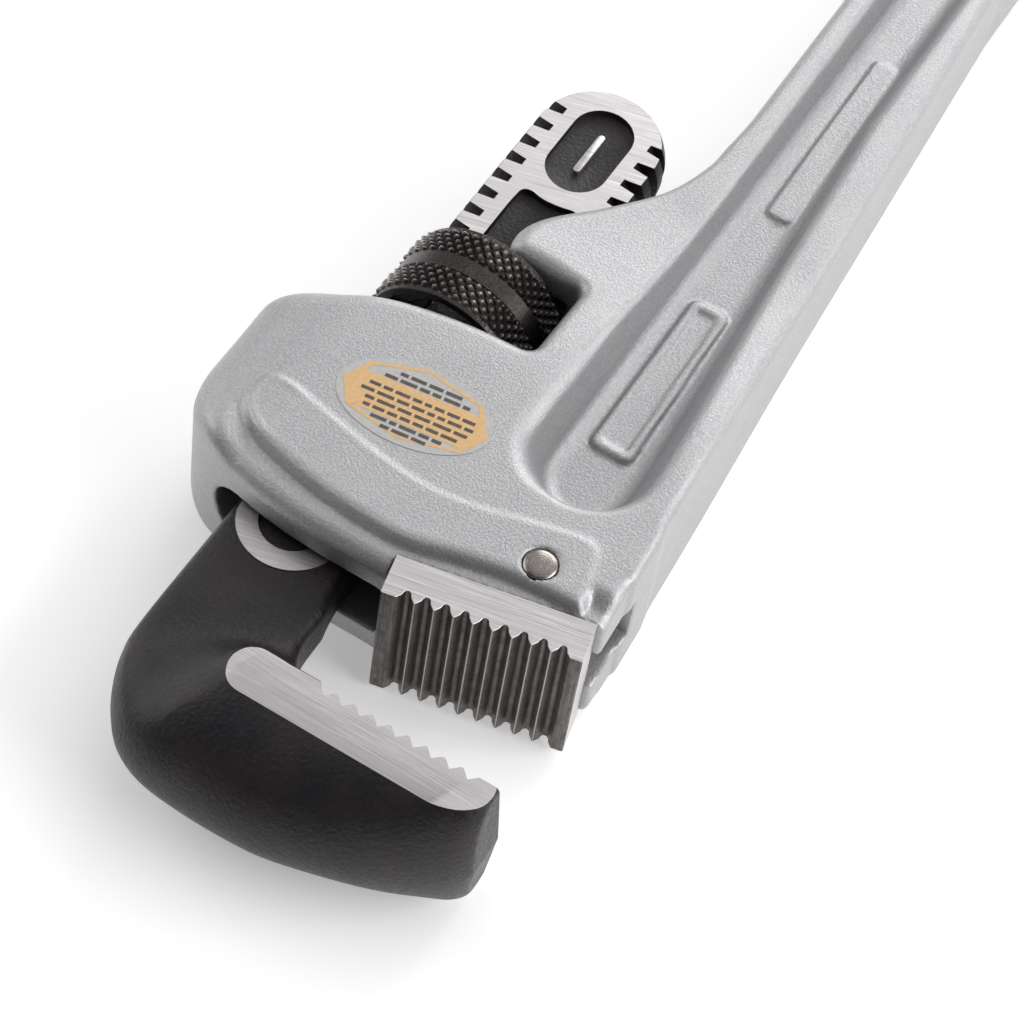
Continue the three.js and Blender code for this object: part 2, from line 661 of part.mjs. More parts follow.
// The finished part stands on its underside, with its origin below the middle of its box
const bounds = new THREE.Box3().setFromObject(wrench);
const centre = bounds.getCenter(new THREE.Vector3());
wrench.position.set(-centre.x, -centre.y, -bounds.min.z);

export default wrench;
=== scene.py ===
# Straight pipe wrench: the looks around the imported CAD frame.
# Shapes are worked out in millimetres on the wrench's own axes (X along the shank towards the hang
# hole, Y away from the handle, Z up, origin on the shank's axis) and placed in the frame in metres.
import math

import bmesh
import bpy
import numpy as np
from mathutils import Matrix, Vector


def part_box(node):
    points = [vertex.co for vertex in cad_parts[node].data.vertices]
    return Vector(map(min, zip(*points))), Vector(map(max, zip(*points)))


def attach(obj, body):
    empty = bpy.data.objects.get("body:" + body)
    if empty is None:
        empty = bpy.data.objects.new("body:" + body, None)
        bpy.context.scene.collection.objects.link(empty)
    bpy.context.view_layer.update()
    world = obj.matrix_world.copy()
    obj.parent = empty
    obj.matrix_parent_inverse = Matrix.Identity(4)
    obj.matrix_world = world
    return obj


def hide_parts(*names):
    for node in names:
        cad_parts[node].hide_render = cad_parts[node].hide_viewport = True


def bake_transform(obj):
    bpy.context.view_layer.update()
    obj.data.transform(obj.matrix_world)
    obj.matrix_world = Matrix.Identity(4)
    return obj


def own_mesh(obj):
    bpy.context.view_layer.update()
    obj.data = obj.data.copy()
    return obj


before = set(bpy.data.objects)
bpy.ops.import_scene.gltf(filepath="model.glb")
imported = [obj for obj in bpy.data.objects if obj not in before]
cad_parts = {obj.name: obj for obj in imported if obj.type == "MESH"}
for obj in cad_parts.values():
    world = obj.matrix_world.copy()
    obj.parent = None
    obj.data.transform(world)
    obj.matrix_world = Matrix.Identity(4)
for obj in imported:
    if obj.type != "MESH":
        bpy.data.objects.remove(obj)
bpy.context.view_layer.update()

MM = 0.001

# ---- Sizes, in millimetres ----

SHANK_HALF_THICK = 5.8
THREAD_OUTER_R = 13.3
THREAD_ROOT_R = 10.45
THREAD_PITCH = 5.0
THREAD_PHASE_X = 2.2
THREAD_START_X = 21.0
GROOVE_ROOT_HALF = 0.85
GROOVE_FLANK = 0.15
SHANK_ROUND_X = 100.3
POCKET_R = 6.05
POCKET_DEPTH = 1.6
RING_X = -3.7
RING_R = 9.91

JAW_HALF_THICK = 15.1
TOOTH_FACE_X = -33.1
HOOK_TIP_Y = -59.5
TOOTH_PITCH = 3.45
TOOTH_DEPTH = 1.4
HOOK_TEETH = 9
HOOK_TEETH_START_Y = -25.5
NECK_HALF_THICK = 5.5
NECK_LEFT_Y = 11.7
NECK_RIGHT_Y = -14.2
OVAL_HEIGHT = 16.0
STRIP = (-37.0, -13.5, 4.65)  # middle line x, where its round end starts, and its half width

HEEL_CORNER = (-12.35, -22.43)
HEEL_TILT = math.radians(12)
HEEL_LENGTH = 35.7
HEEL_DEPTH = 8.02
HEEL_HALF_THICK = 15.0
HEEL_FIRST_GROOVE = 4.3
HEEL_GROOVES = 9
TANG_HALF_THICK = 5.0
TANG_DEPTH = 12.5
TANG_START = 8.0
PIN_ALONG = 23.1
PIN_BEHIND = 6.9
PIN_R = 3.05

NUT_FRONT_X = 45.2
NUT_WIDTH = 16.85
NUT_R = 16.3
NUT_BORE_R = 13.6

BLOCK_HALF_THICK = 16.0
BLOCK_LEFT_Y = 27.3
HANDLE_HALF_THICK = 12.0
HANDLE_LEFT_Y = -22.5
HANDLE_ROOT_WIDTH = 34.7
HANDLE_END_WIDTH = 23.4
HANDLE_TAPER_END_X = 180.0
HANDLE_END_X = 252.0
WEB_HALF_THICK = 5.0
TUNNEL_HALF_HEIGHT = 6.8
TUNNEL_RIGHT_Y = -20.0
TUNNEL_LEFT_Y = 15.95
WINDOW_FRONT_X = 44.6
WINDOW_REAR_X = 63.2
WINDOW_FLOOR_Y = -17.8
REAR_SLOT_HALF = 6.25
REAR_SLOT_FLOOR_Y = -14.9
HANG_HOLE = (240.0, -34.2)
HANG_HOLE_R = 5.0

LEAF_THICK = 0.8
LEAF_HALF_HEIGHT = 4.5
LEAF_FACE_Y = -13.6
COIL_X = 21.0
COIL_R = 3.0
COIL_WIRE_R = 0.55
COIL_TURNS = 6
COIL_FLOOR_Y = -29.0
RIVET_X = 36.0
RIVET_R = 1.4

GAP = 0.3

# The nut's middle ties these axes to the frame
nut_low, nut_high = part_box("adjusting_nut")
NUT_MIDDLE = Vector((NUT_FRONT_X + NUT_WIDTH / 2, 0, 0))
ORIGIN = (nut_low + nut_high) / 2 - NUT_MIDDLE * MM


def place(x, y, z):
    """A point on the wrench's axes, in the frame's metres."""
    return ORIGIN + Vector((x, y, z)) * MM


# ---- Camera ----

CAMERA_TARGET = (23.74, -28.07, 0.0)
CAMERA_DISTANCE = 597.8
CAMERA_AZIMUTH = math.radians(22.6)
CAMERA_ELEVATION = math.radians(55.95)
CAMERA_ROLL = math.radians(10.34)
CAMERA_LENS = 120.06


def make_camera():
    az, el = CAMERA_AZIMUTH, CAMERA_ELEVATION
    ahead = Vector((math.cos(el) * math.cos(az), math.cos(el) * math.sin(az), -math.sin(el)))
    level = Vector((math.sin(az), -math.cos(az), 0))
    upright = level.cross(ahead)
    right = level * math.cos(CAMERA_ROLL) + upright * math.sin(CAMERA_ROLL)
    up = upright * math.cos(CAMERA_ROLL) - level * math.sin(CAMERA_ROLL)
    turn = Matrix((right, up, -ahead)).transposed().to_4x4()
    camera = bpy.data.objects.new("camera", bpy.data.cameras.new("camera"))
    camera.data.lens = CAMERA_LENS
    camera.data.sensor_width = 36
    camera.data.shift_y = -0.0027
    camera.data.clip_end = 10
    camera.matrix_world = Matrix.Translation(place(*CAMERA_TARGET) - ahead * CAMERA_DISTANCE * MM) @ turn
    bpy.context.scene.collection.objects.link(camera)
    bpy.context.scene.camera = camera


# ---- Materials ----


class Shader:
    """A Principled material built node by node, on object coordinates in metres."""

    def __init__(self, name, **inputs):
        self.material = bpy.data.materials.new(name)
        self.material.use_nodes = True
        self.tree = self.material.node_tree
        self.out = self.tree.nodes["Principled BSDF"]
        for key, value in inputs.items():
            self.out.inputs[key.replace("_", " ")].default_value = value
        self.spot = self.node("ShaderNodeTexCoord").outputs["Object"]

    def node(self, kind, **settings):
        made = self.tree.nodes.new(kind)
        for key, value in settings.items():
            setattr(made, key, value)
        return made

    def link(self, source, socket):
        self.tree.links.new(source, socket)

    def mapped(self, turn=0.0, stretch=(1, 1, 1)):
        """Coordinates turned about Z, then stretched."""
        turned = self.node("ShaderNodeMapping", vector_type="POINT")
        turned.inputs["Rotation"].default_value = (0, 0, turn)
        self.link(self.spot, turned.inputs["Vector"])
        stretched = self.node("ShaderNodeMapping", vector_type="POINT")
        stretched.inputs["Scale"].default_value = stretch
        self.link(turned.outputs["Vector"], stretched.inputs["Vector"])
        return stretched.outputs["Vector"]

    def noise(self, size_mm, detail=3.0, roughness=0.55, vector=None):
        made = self.node("ShaderNodeTexNoise")
        made.inputs["Scale"].default_value = 1 / (size_mm * MM)
        made.inputs["Detail"].default_value = detail
        made.inputs["Roughness"].default_value = roughness
        self.link(vector or self.spot, made.inputs["Vector"])
        return made.outputs["Fac"]

    def ramp(self, value, low, high, from_value=0.0, to_value=1.0):
        made = self.node("ShaderNodeMapRange", interpolation_type="SMOOTHSTEP")
        made.inputs["From Min"].default_value = low
        made.inputs["From Max"].default_value = high
        made.inputs["To Min"].default_value = from_value
        made.inputs["To Max"].default_value = to_value
        self.link(value, made.inputs["Value"])
        return made.outputs["Result"]

    def blend(self, fac, first, second):
        made = self.node("ShaderNodeMix", data_type="RGBA")
        self.link(fac, made.inputs["Factor"])
        for socket, value in ((made.inputs["A"], first), (made.inputs["B"], second)):
            if isinstance(value, tuple):
                socket.default_value = (*value, 1)
            else:
                self.link(value, socket)
        return made.outputs["Result"]

    def math(self, operation, first, second):
        made = self.node("ShaderNodeMath", operation=operation)
        for socket, value in zip(made.inputs, (first, second)):
            if isinstance(value, (int, float)):
                socket.default_value = value
            else:
                self.link(value, socket)
        return made.outputs["Value"]

    def bump(self, height, depth_mm, under=None, strength=1.0):
        made = self.node("ShaderNodeBump")
        made.inputs["Strength"].default_value = strength
        made.inputs["Distance"].default_value = depth_mm * MM
        self.link(height, made.inputs["Height"])
        if under is not None:
            self.link(under, made.inputs["Normal"])
        self.link(made.outputs["Normal"], self.out.inputs["Normal"])
        return made.outputs["Normal"]

    def colour(self, source):
        self.link(source, self.out.inputs["Base Color"])

    def rough(self, source):
        self.link(source, self.out.inputs["Roughness"])

    def distance(self, axes, centre):
        """Distance from a line square to the two axes, through the centre."""
        parts = self.node("ShaderNodeSeparateXYZ")
        self.link(self.spot, parts.inputs["Vector"])
        offsets = [self.math("SUBTRACT", parts.outputs[axis], at) for axis, at in zip(axes, centre)]
        squares = [self.math("MULTIPLY", offset, offset) for offset in offsets]
        return self.math("SQRT", self.math("ADD", *squares), 0)


def cast_aluminium():
    """Sand-cast aluminium with a blasted skin: soft grains and fine sparkle."""
    s = Shader("cast_aluminium", Metallic=0.8, IOR=1.6)
    grain = s.noise(0.5, detail=4, roughness=0.6)
    fine = s.noise(0.22, detail=2)
    broad = s.noise(9, detail=3)
    base = s.blend(s.ramp(broad, 0.3, 0.7), (0.37, 0.368, 0.378), (0.40, 0.398, 0.405))
    grained = s.blend(s.ramp(grain, 0.38, 0.66), base, (0.455, 0.452, 0.46))
    # Painted glints: light specks in the colour stand in for the sparkle of light on the blasted grains
    painted_glints = s.ramp(fine, 0.68, 0.76)
    s.colour(s.blend(painted_glints, grained, (0.72, 0.72, 0.73)))
    s.rough(s.ramp(fine, 0.3, 0.75, 0.52, 0.36))
    soft = s.bump(grain, 0.12)
    s.bump(fine, 0.03, soft)
    return s.material


def black_forging():
    """Black oxide over a hammered forging: satin, faintly brown, with orange-peel bumps."""
    s = Shader("black_forging", Metallic=0.0, IOR=1.42)
    peel = s.noise(0.8, detail=4, roughness=0.6)
    fine = s.noise(0.3, detail=2)
    broad = s.noise(12, detail=3)
    base = s.blend(s.ramp(broad, 0.35, 0.65), (0.0065, 0.006, 0.0085), (0.016, 0.011, 0.011))
    # Painted glints: lighter brown specks in the colour stand in for the sparkle of light on the orange
    # peel
    painted_glints = s.ramp(fine, 0.70, 0.78)
    s.colour(s.blend(painted_glints, base, (0.07, 0.045, 0.035)))
    s.rough(s.ramp(peel, 0.3, 0.7, 0.34, 0.46))
    soft = s.bump(peel, 0.2)
    s.bump(fine, 0.02, soft)
    return s.material


def ground_steel(name, turn, tint=(0.55, 0.525, 0.525)):
    """Steel ground flat: fine straight scratches along one direction."""
    s = Shader(name, Metallic=1.0)
    streak = s.noise(0.16, detail=3, roughness=0.7, vector=s.mapped(turn, (0.012, 1, 1)))
    wide = s.noise(0.9, detail=2, vector=s.mapped(turn, (0.02, 1, 1)))
    lighter = tuple(min(c * 1.35, 1) for c in tint)
    darker = tuple(c * 0.68 for c in tint)
    mixed = s.blend(s.ramp(streak, 0.3, 0.7), darker, lighter)
    s.colour(s.blend(s.ramp(wide, 0.4, 0.7), mixed, tint))
    s.rough(s.ramp(streak, 0.3, 0.7, 0.30, 0.42))
    s.bump(streak, 0.012)
    return s.material


def dark_steel(name, base, light, rough_low=0.34, rough_high=0.5, turn=0.0):
    """Steel under a brown-grey heat-treatment skin, with faint cutting streaks."""
    s = Shader(name, Metallic=0.75)
    streak = s.noise(0.35, detail=3, vector=s.mapped(turn, (1, 1, 0.05)))
    mottle = s.noise(1.6, detail=4)
    mixed = s.blend(s.ramp(streak, 0.3, 0.7), base, light)
    s.colour(s.blend(s.ramp(mottle, 0.45, 0.75), mixed, base))
    s.rough(s.ramp(mottle, 0.3, 0.7, rough_low, rough_high))
    s.bump(streak, 0.015)
    return s.material


def nut_steel():
    """Blackened nut whose knurl tips have worn to bright metal."""
    s = Shader("nut_steel", Metallic=1.0)
    radius = s.distance("YZ", (ORIGIN.y, ORIGIN.z))
    wear = s.noise(2.5, detail=4, roughness=0.6)
    tips = s.ramp(radius, (NUT_R - 0.5) * MM, (NUT_R - 0.05) * MM)
    worn = s.math("MULTIPLY", tips, s.ramp(wear, 0.25, 0.6, 0.4, 1.0))
    grain = s.noise(0.4, detail=3)
    base = s.blend(s.ramp(grain, 0.3, 0.7), (0.040, 0.036, 0.036), (0.070, 0.062, 0.060))
    s.colour(s.blend(worn, base, (0.40, 0.36, 0.335)))
    s.rough(s.ramp(grain, 0.3, 0.7, 0.26, 0.38))
    s.bump(grain, 0.02)
    return s.material


def turned_steel(centre):
    """Turned pin head: fine rings about its own axis."""
    s = Shader("turned_steel", Metallic=1.0)
    radius = s.distance("XY", (centre.x, centre.y))
    rings = s.math("SINE", s.math("MULTIPLY", radius, 2 * math.pi / (0.5 * MM)), 0)
    wear = s.noise(0.6, detail=3)
    s.colour(s.blend(s.ramp(wear, 0.35, 0.7), (0.24, 0.215, 0.20), (0.31, 0.285, 0.27)))
    s.rough(s.ramp(wear, 0.3, 0.7, 0.22, 0.30))
    s.bump(rings, 0.006)
    return s.material


def spring_steel():
    s = Shader("spring_steel", Metallic=1.0)
    streak = s.noise(0.4, detail=3, vector=s.mapped(0, (0.05, 1, 1)))
    s.colour(s.blend(s.ramp(streak, 0.3, 0.7), (0.24, 0.25, 0.27), (0.38, 0.39, 0.41)))
    s.rough(s.ramp(streak, 0.3, 0.7, 0.28, 0.42))
    s.bump(streak, 0.01)
    return s.material


def label_print(name, first, second, rough=0.34, coat=0.5):
    """A printed field on the label's film, with slight unevenness of the ink."""
    s = Shader(name, Metallic=0.0)
    s.out.inputs["Coat Weight"].default_value = coat
    s.out.inputs["Coat Roughness"].default_value = 0.12
    ink = s.noise(0.8, detail=3)
    s.colour(s.blend(s.ramp(ink, 0.3, 0.7), first, second))
    s.rough(s.ramp(ink, 0.3, 0.7, rough, rough + 0.08))
    s.bump(s.noise(0.9, detail=3), 0.02)
    return s.material


# ---- Plan outlines ----


def curve(start, *pieces, steps=12):
    """Points of an outline. A piece is one end point, or a control point and an end point."""
    points = [start]
    for piece in pieces:
        if len(piece) == 2 and np.isscalar(piece[0]):
            points.append(piece)
            continue
        (cx, cy), (ex, ey) = piece
        sx, sy = points[-1]
        for k in range(1, steps + 1):
            t = k / steps
            a, b, c = (1 - t) ** 2, 2 * t * (1 - t), t * t
            points.append((a * sx + b * cx + c * ex, a * sy + b * cy + c * ey))
    return points


def smooth_line(points, steps=8):
    """Catmull-Rom curve through the points."""
    p = [np.array(q, float) for q in points]
    p = [2 * p[0] - p[1]] + p + [2 * p[-1] - p[-2]]
    made = []
    for k in range(1, len(p) - 2):
        for t in np.arange(steps) / steps:
            made.append(tuple(0.5 * (2 * p[k] + (p[k + 1] - p[k - 1]) * t
                                     + (2 * p[k - 1] - 5 * p[k] + 4 * p[k + 1] - p[k + 2]) * t ** 2
                                     + (3 * p[k] - p[k - 1] - 3 * p[k + 1] + p[k + 2]) * t ** 3)))
    made.append(tuple(p[-2]))
    return made


def arc(cx, cy, radius, start, end, steps=16):
    """Points on an arc, angles in degrees."""
    return [(cx + radius * math.cos(math.radians(a)), cy + radius * math.sin(math.radians(a)))
            for a in np.linspace(start, end, steps + 1)]


def heel_point(along, back):
    s, c = math.sin(HEEL_TILT), math.cos(HEEL_TILT)
    return HEEL_CORNER[0] + along * s + back * c, HEEL_CORNER[1] - along * c + back * s


def handle_right_y(x):
    share = min(max(x / HANDLE_TAPER_END_X, 0), 1)
    return HANDLE_LEFT_Y - HANDLE_ROOT_WIDTH - (HANDLE_END_WIDTH - HANDLE_ROOT_WIDTH) * share


# ---- Solids as distance fields ----


class Field:
    """A grid over a box that is the same above and below z = 0. Distances are in millimetres,
    negative inside. Plan fields have two axes, solid fields three."""

    def __init__(self, low, high, half_height, step):
        self.step = step
        self.xs = np.arange(low[0], high[0] + step, step, dtype=np.float32)
        self.ys = np.arange(low[1], high[1] + step, step, dtype=np.float32)
        self.zs = np.arange(0, half_height + step, step, dtype=np.float32)
        self.x = self.xs[:, None]
        self.y = self.ys[None, :]
        self.z = self.zs[None, None, :]

    def outline(self, points):
        """Signed distance in plan to a closed outline."""
        x, y = np.broadcast_arrays(self.x, self.y)
        best = np.full(x.shape, 1e9, np.float32)
        inside = np.zeros(x.shape, bool)
        for (ax, ay), (bx, by) in zip(points, points[1:] + points[:1]):
            ex, ey = bx - ax, by - ay
            if ex * ex + ey * ey < 1e-9:
                continue
            wx, wy = x - ax, y - ay
            t = np.clip((wx * ex + wy * ey) / (ex * ex + ey * ey), 0, 1)
            best = np.minimum(best, (wx - ex * t) ** 2 + (wy - ey * t) ** 2)
            crosses = (ay > y) != (by > y)
            if ey != 0:
                inside ^= crosses & (wx < ex * wy / ey)
        return np.where(inside, -1, 1) * np.sqrt(best).astype(np.float32)

    def surface(self, solid):
        """The zero surface of a solid field, mirrored below, as vertices and four-sided faces."""
        whole = np.concatenate([solid[:, :, :0:-1], solid], axis=2)
        inside = whole < 0
        cells = np.array(whole.shape) - 1
        edge_cells, edge_points = [], []
        for axis in range(3):
            near = tuple(slice(None, -1) if k == axis else slice(None) for k in range(3))
            far = tuple(slice(1, None) if k == axis else slice(None) for k in range(3))
            at = np.argwhere(inside[near] != inside[far])
            ahead = at.copy()
            ahead[:, axis] += 1
            a = whole[tuple(at.T)]
            b = whole[tuple(ahead.T)]
            point = at.astype(float)
            point[:, axis] += a / (a - b)
            u, v = (axis + 1) % 3, (axis + 2) % 3
            ring = np.repeat(at[:, None, :], 4, axis=1)
            ring[:, 1:3, u] -= 1
            ring[:, 2:4, v] -= 1
            ring[a >= 0] = ring[a >= 0][:, ::-1]
            edge_cells.append(ring)
            edge_points.append(np.repeat(point[:, None, :], 4, axis=1))
        ring = np.concatenate(edge_cells)
        flat = np.ravel_multi_index(tuple(ring.reshape(-1, 3).T), tuple(cells))
        index = np.unique(flat, return_inverse=True)[1]
        points = np.concatenate(edge_points).reshape(-1, 3)
        count = np.bincount(index)
        vertex = np.stack([np.bincount(index, weights=points[:, k]) / count for k in range(3)], 1)
        low = np.array([self.xs[0], self.ys[0], -self.zs[-1]])
        return vertex * self.step + low, index.reshape(-1, 4)


def meet(a, b, radius):
    """What two solids share, with its edge rounded."""
    return np.minimum(np.maximum(a, b), -radius) + np.hypot(
        np.maximum(a + radius, 0), np.maximum(b + radius, 0))


def join(a, b, radius):
    """Two solids as one, with a fillet between them."""
    return -meet(-a, -b, radius)


def cut(a, b, radius):
    """The first solid without the second, with the new edge rounded."""
    return meet(a, -b, radius)


def step_up(value, low, high):
    t = np.clip((value - low) / (high - low), 0, 1)
    return t * t * (3 - 2 * t)


# ---- Meshes ----


def make_piece(name, vertices, faces, materials, smooth_angle=None):
    """A mesh object from points on the wrench's axes."""
    mesh = bpy.data.meshes.new(name)
    vertices = np.asarray(vertices, float) * MM + np.array(ORIGIN)
    mesh.from_pydata(vertices.tolist(), [], [list(f) for f in faces])
    mesh.validate()
    for material in materials:
        mesh.materials.append(material)
    piece = bpy.data.objects.new(name, mesh)
    bpy.context.scene.collection.objects.link(piece)
    if smooth_angle is not None:
        smooth(piece, smooth_angle)
    return piece


def smooth(piece, angle):
    piece.data.shade_smooth()
    piece.data.set_sharp_from_angle(angle=math.radians(angle))


def apply_modifiers(piece):
    bpy.context.view_layer.update()
    graph = bpy.context.evaluated_depsgraph_get()
    mesh = bpy.data.meshes.new_from_object(piece.evaluated_get(graph), depsgraph=graph)
    piece.modifiers.clear()
    piece.data = mesh


def combine(piece, tools, operation="DIFFERENCE"):
    """Boolean of a piece with each tool in turn. New faces keep the tool's material."""
    for tool in tools:
        modifier = piece.modifiers.new("combine", "BOOLEAN")
        modifier.operation = operation
        modifier.solver = "MANIFOLD"
        modifier.object = tool
        for material in tool.data.materials:
            if material.name not in piece.data.materials:
                piece.data.materials.append(material)
        before = len(piece.data.vertices)
        apply_modifiers(piece)
        if len(piece.data.vertices) in (0, before):
            print("combine left", piece.name, "unchanged with", tool.name)
        bpy.data.objects.remove(tool)
    return piece


def plate(name, outline, low, high, material, bevel=0.0):
    """A plan outline from z = low to z = high, with small bevels along its edges."""
    count = len(outline)
    vertices = [(x, y, low) for x, y in outline] + [(x, y, high) for x, y in outline]
    faces = [list(range(count))[::-1], list(range(count, 2 * count))]
    faces += [[k, (k + 1) % count, (k + 1) % count + count, k + count] for k in range(count)]
    piece = make_piece(name, vertices, faces, [material])
    outward(piece)
    if bevel:
        round_edges(piece, bevel)
    return piece


def outward(piece):
    mesh = bmesh.new()
    mesh.from_mesh(piece.data)
    bmesh.ops.recalc_face_normals(mesh, faces=mesh.faces)
    mesh.to_mesh(piece.data)
    mesh.free()


def round_edges(piece, width, segments=2, angle=30):
    modifier = piece.modifiers.new("round", "BEVEL")
    modifier.width = width * MM
    modifier.segments = segments
    modifier.limit_method = "ANGLE"
    modifier.angle_limit = math.radians(angle)
    modifier.harden_normals = False
    apply_modifiers(piece)


def lathe(name, profile, axis, centre, segments, materials, bands=None):
    """A closed solid of revolution from (place along the axis, radius) points about X, Y or Z."""
    rings = []
    angles = np.linspace(0, 2 * math.pi, segments, endpoint=False)
    for along, radius in profile:
        ring = np.zeros((segments, 3))
        ring[:, axis] = along
        ring[:, (axis + 1) % 3] = radius * np.cos(angles)
        ring[:, (axis + 2) % 3] = radius * np.sin(angles)
        rings.append(ring + np.array(centre))
    faces = []
    for r in range(len(profile) - 1):
        for k in range(segments):
            n = (k + 1) % segments
            low, high = r * segments, (r + 1) * segments
            faces.append([low + k, low + n, high + n, high + k])
    piece = make_piece(name, np.concatenate(rings), faces, materials)
    mesh = bmesh.new()
    mesh.from_mesh(piece.data)
    if bands:
        mesh.faces.ensure_lookup_table()
        for r, slot in bands.items():
            for k in range(segments):
                mesh.faces[r * segments + k].material_index = slot
    bmesh.ops.remove_doubles(mesh, verts=mesh.verts, dist=1e-7)
    bmesh.ops.recalc_face_normals(mesh, faces=mesh.faces)
    mesh.to_mesh(piece.data)
    mesh.free()
    return piece


def slot_outline(x0, x1, radius, steps=14):
    return arc(x0, 0, radius, 90, 270, steps) + arc(x1, 0, radius, -90, 90, steps)


def rounded(points, radius, steps=6):
    """An outline with its corners rounded."""
    made = []
    count = len(points)
    for k in range(count):
        here = Vector(points[k])
        to_last = (Vector(points[k - 1]) - here).normalized()
        to_next = (Vector(points[(k + 1) % count]) - here).normalized()
        start, end = here + to_last * radius, here + to_next * radius
        made += curve(tuple(start), (tuple(here), tuple(end)), steps=steps)
    return made


# ---- Casting: housing block and I-beam handle ----


def block_outline():
    rear = WINDOW_FRONT_X
    left = BLOCK_LEFT_Y + 0.5
    return curve(
        (-12, -62), (-7.6, -19), (-7.6, -9), ((-7.5, 5), (-4.1, 15)), ((0.2, left), (12, left)),
        (rear - 17, left), ((rear - 10.5, left), (rear - 7, 17)), ((rear - 0.6, 2), (rear, -14)),
        (rear + 1.6, -32), (36, -50), (24, handle_right_y(24)), (1, handle_right_y(1)),
    )


def handle_outline():
    radius = HANDLE_END_WIDTH / 2
    end_x = HANDLE_END_X - radius
    start = [(14, HANDLE_LEFT_Y), (40, WINDOW_FLOOR_Y), (WINDOW_REAR_X + 20, WINDOW_FLOOR_Y),
             (WINDOW_REAR_X + 41, HANDLE_LEFT_Y)]
    end = arc(end_x, HANDLE_LEFT_Y - radius, radius, 90, -90, 24)
    right = [(x, handle_right_y(x)) for x in (HANDLE_TAPER_END_X, 14)]
    return start + end + right


def finger_outline():
    front = WINDOW_REAR_X
    tip = -0.8
    return curve(
        (front, -40), (front, tip - 3.5), ((front, tip), (front + 5, tip)),
        ((front + 10, tip), (front + 17, -7.5)),
        (front + 25, -14.3), ((front + 34, -22), (front + 46, HANDLE_LEFT_Y)),
        (front + 60, HANDLE_LEFT_Y - 3), (front + 30, -40),
    )


def pad_outline():
    return smooth_line([
        (4.2, -51.2), (3.3, -39.4), (1.2, -29.6), (-1.2, -20.5), (-1.4, -12), (-0.6, -2.8), (0.9, 5),
        (3, 12.1), (6.6, 16.6), (10.8, 17.4), (14, 15.8), (13.6, 9), (12.1, 1.5), (10.4, -8),
        (9.6, -18), (11, -27.5), (13.5, -36), (15.8, -47.2), (10.4, -50.1), (4.2, -51.2),
    ])[:-1]


def recess_outline():
    left = HANDLE_LEFT_Y - 4.8 - 3
    root, end = 14.6, 8.8
    start_r = root / 2
    return (arc(22 + 3 + start_r, left - start_r, start_r, 90, 270)
            + [(36, left - root), (130, left - end)]
            + arc(222 - end / 2, left - end / 2, end / 2, -90, 90))


def panel_outline():
    """Blank raised panel on the floor of the recess."""
    return rounded([(40, -33.2), (40, -41.6), (79, -40.6), (79, -33.0)], 2)


def far_panel_outline():
    return rounded([(104, -34.0), (104, -39.2), (150, -38.2), (150, -33.6)], 1.5)


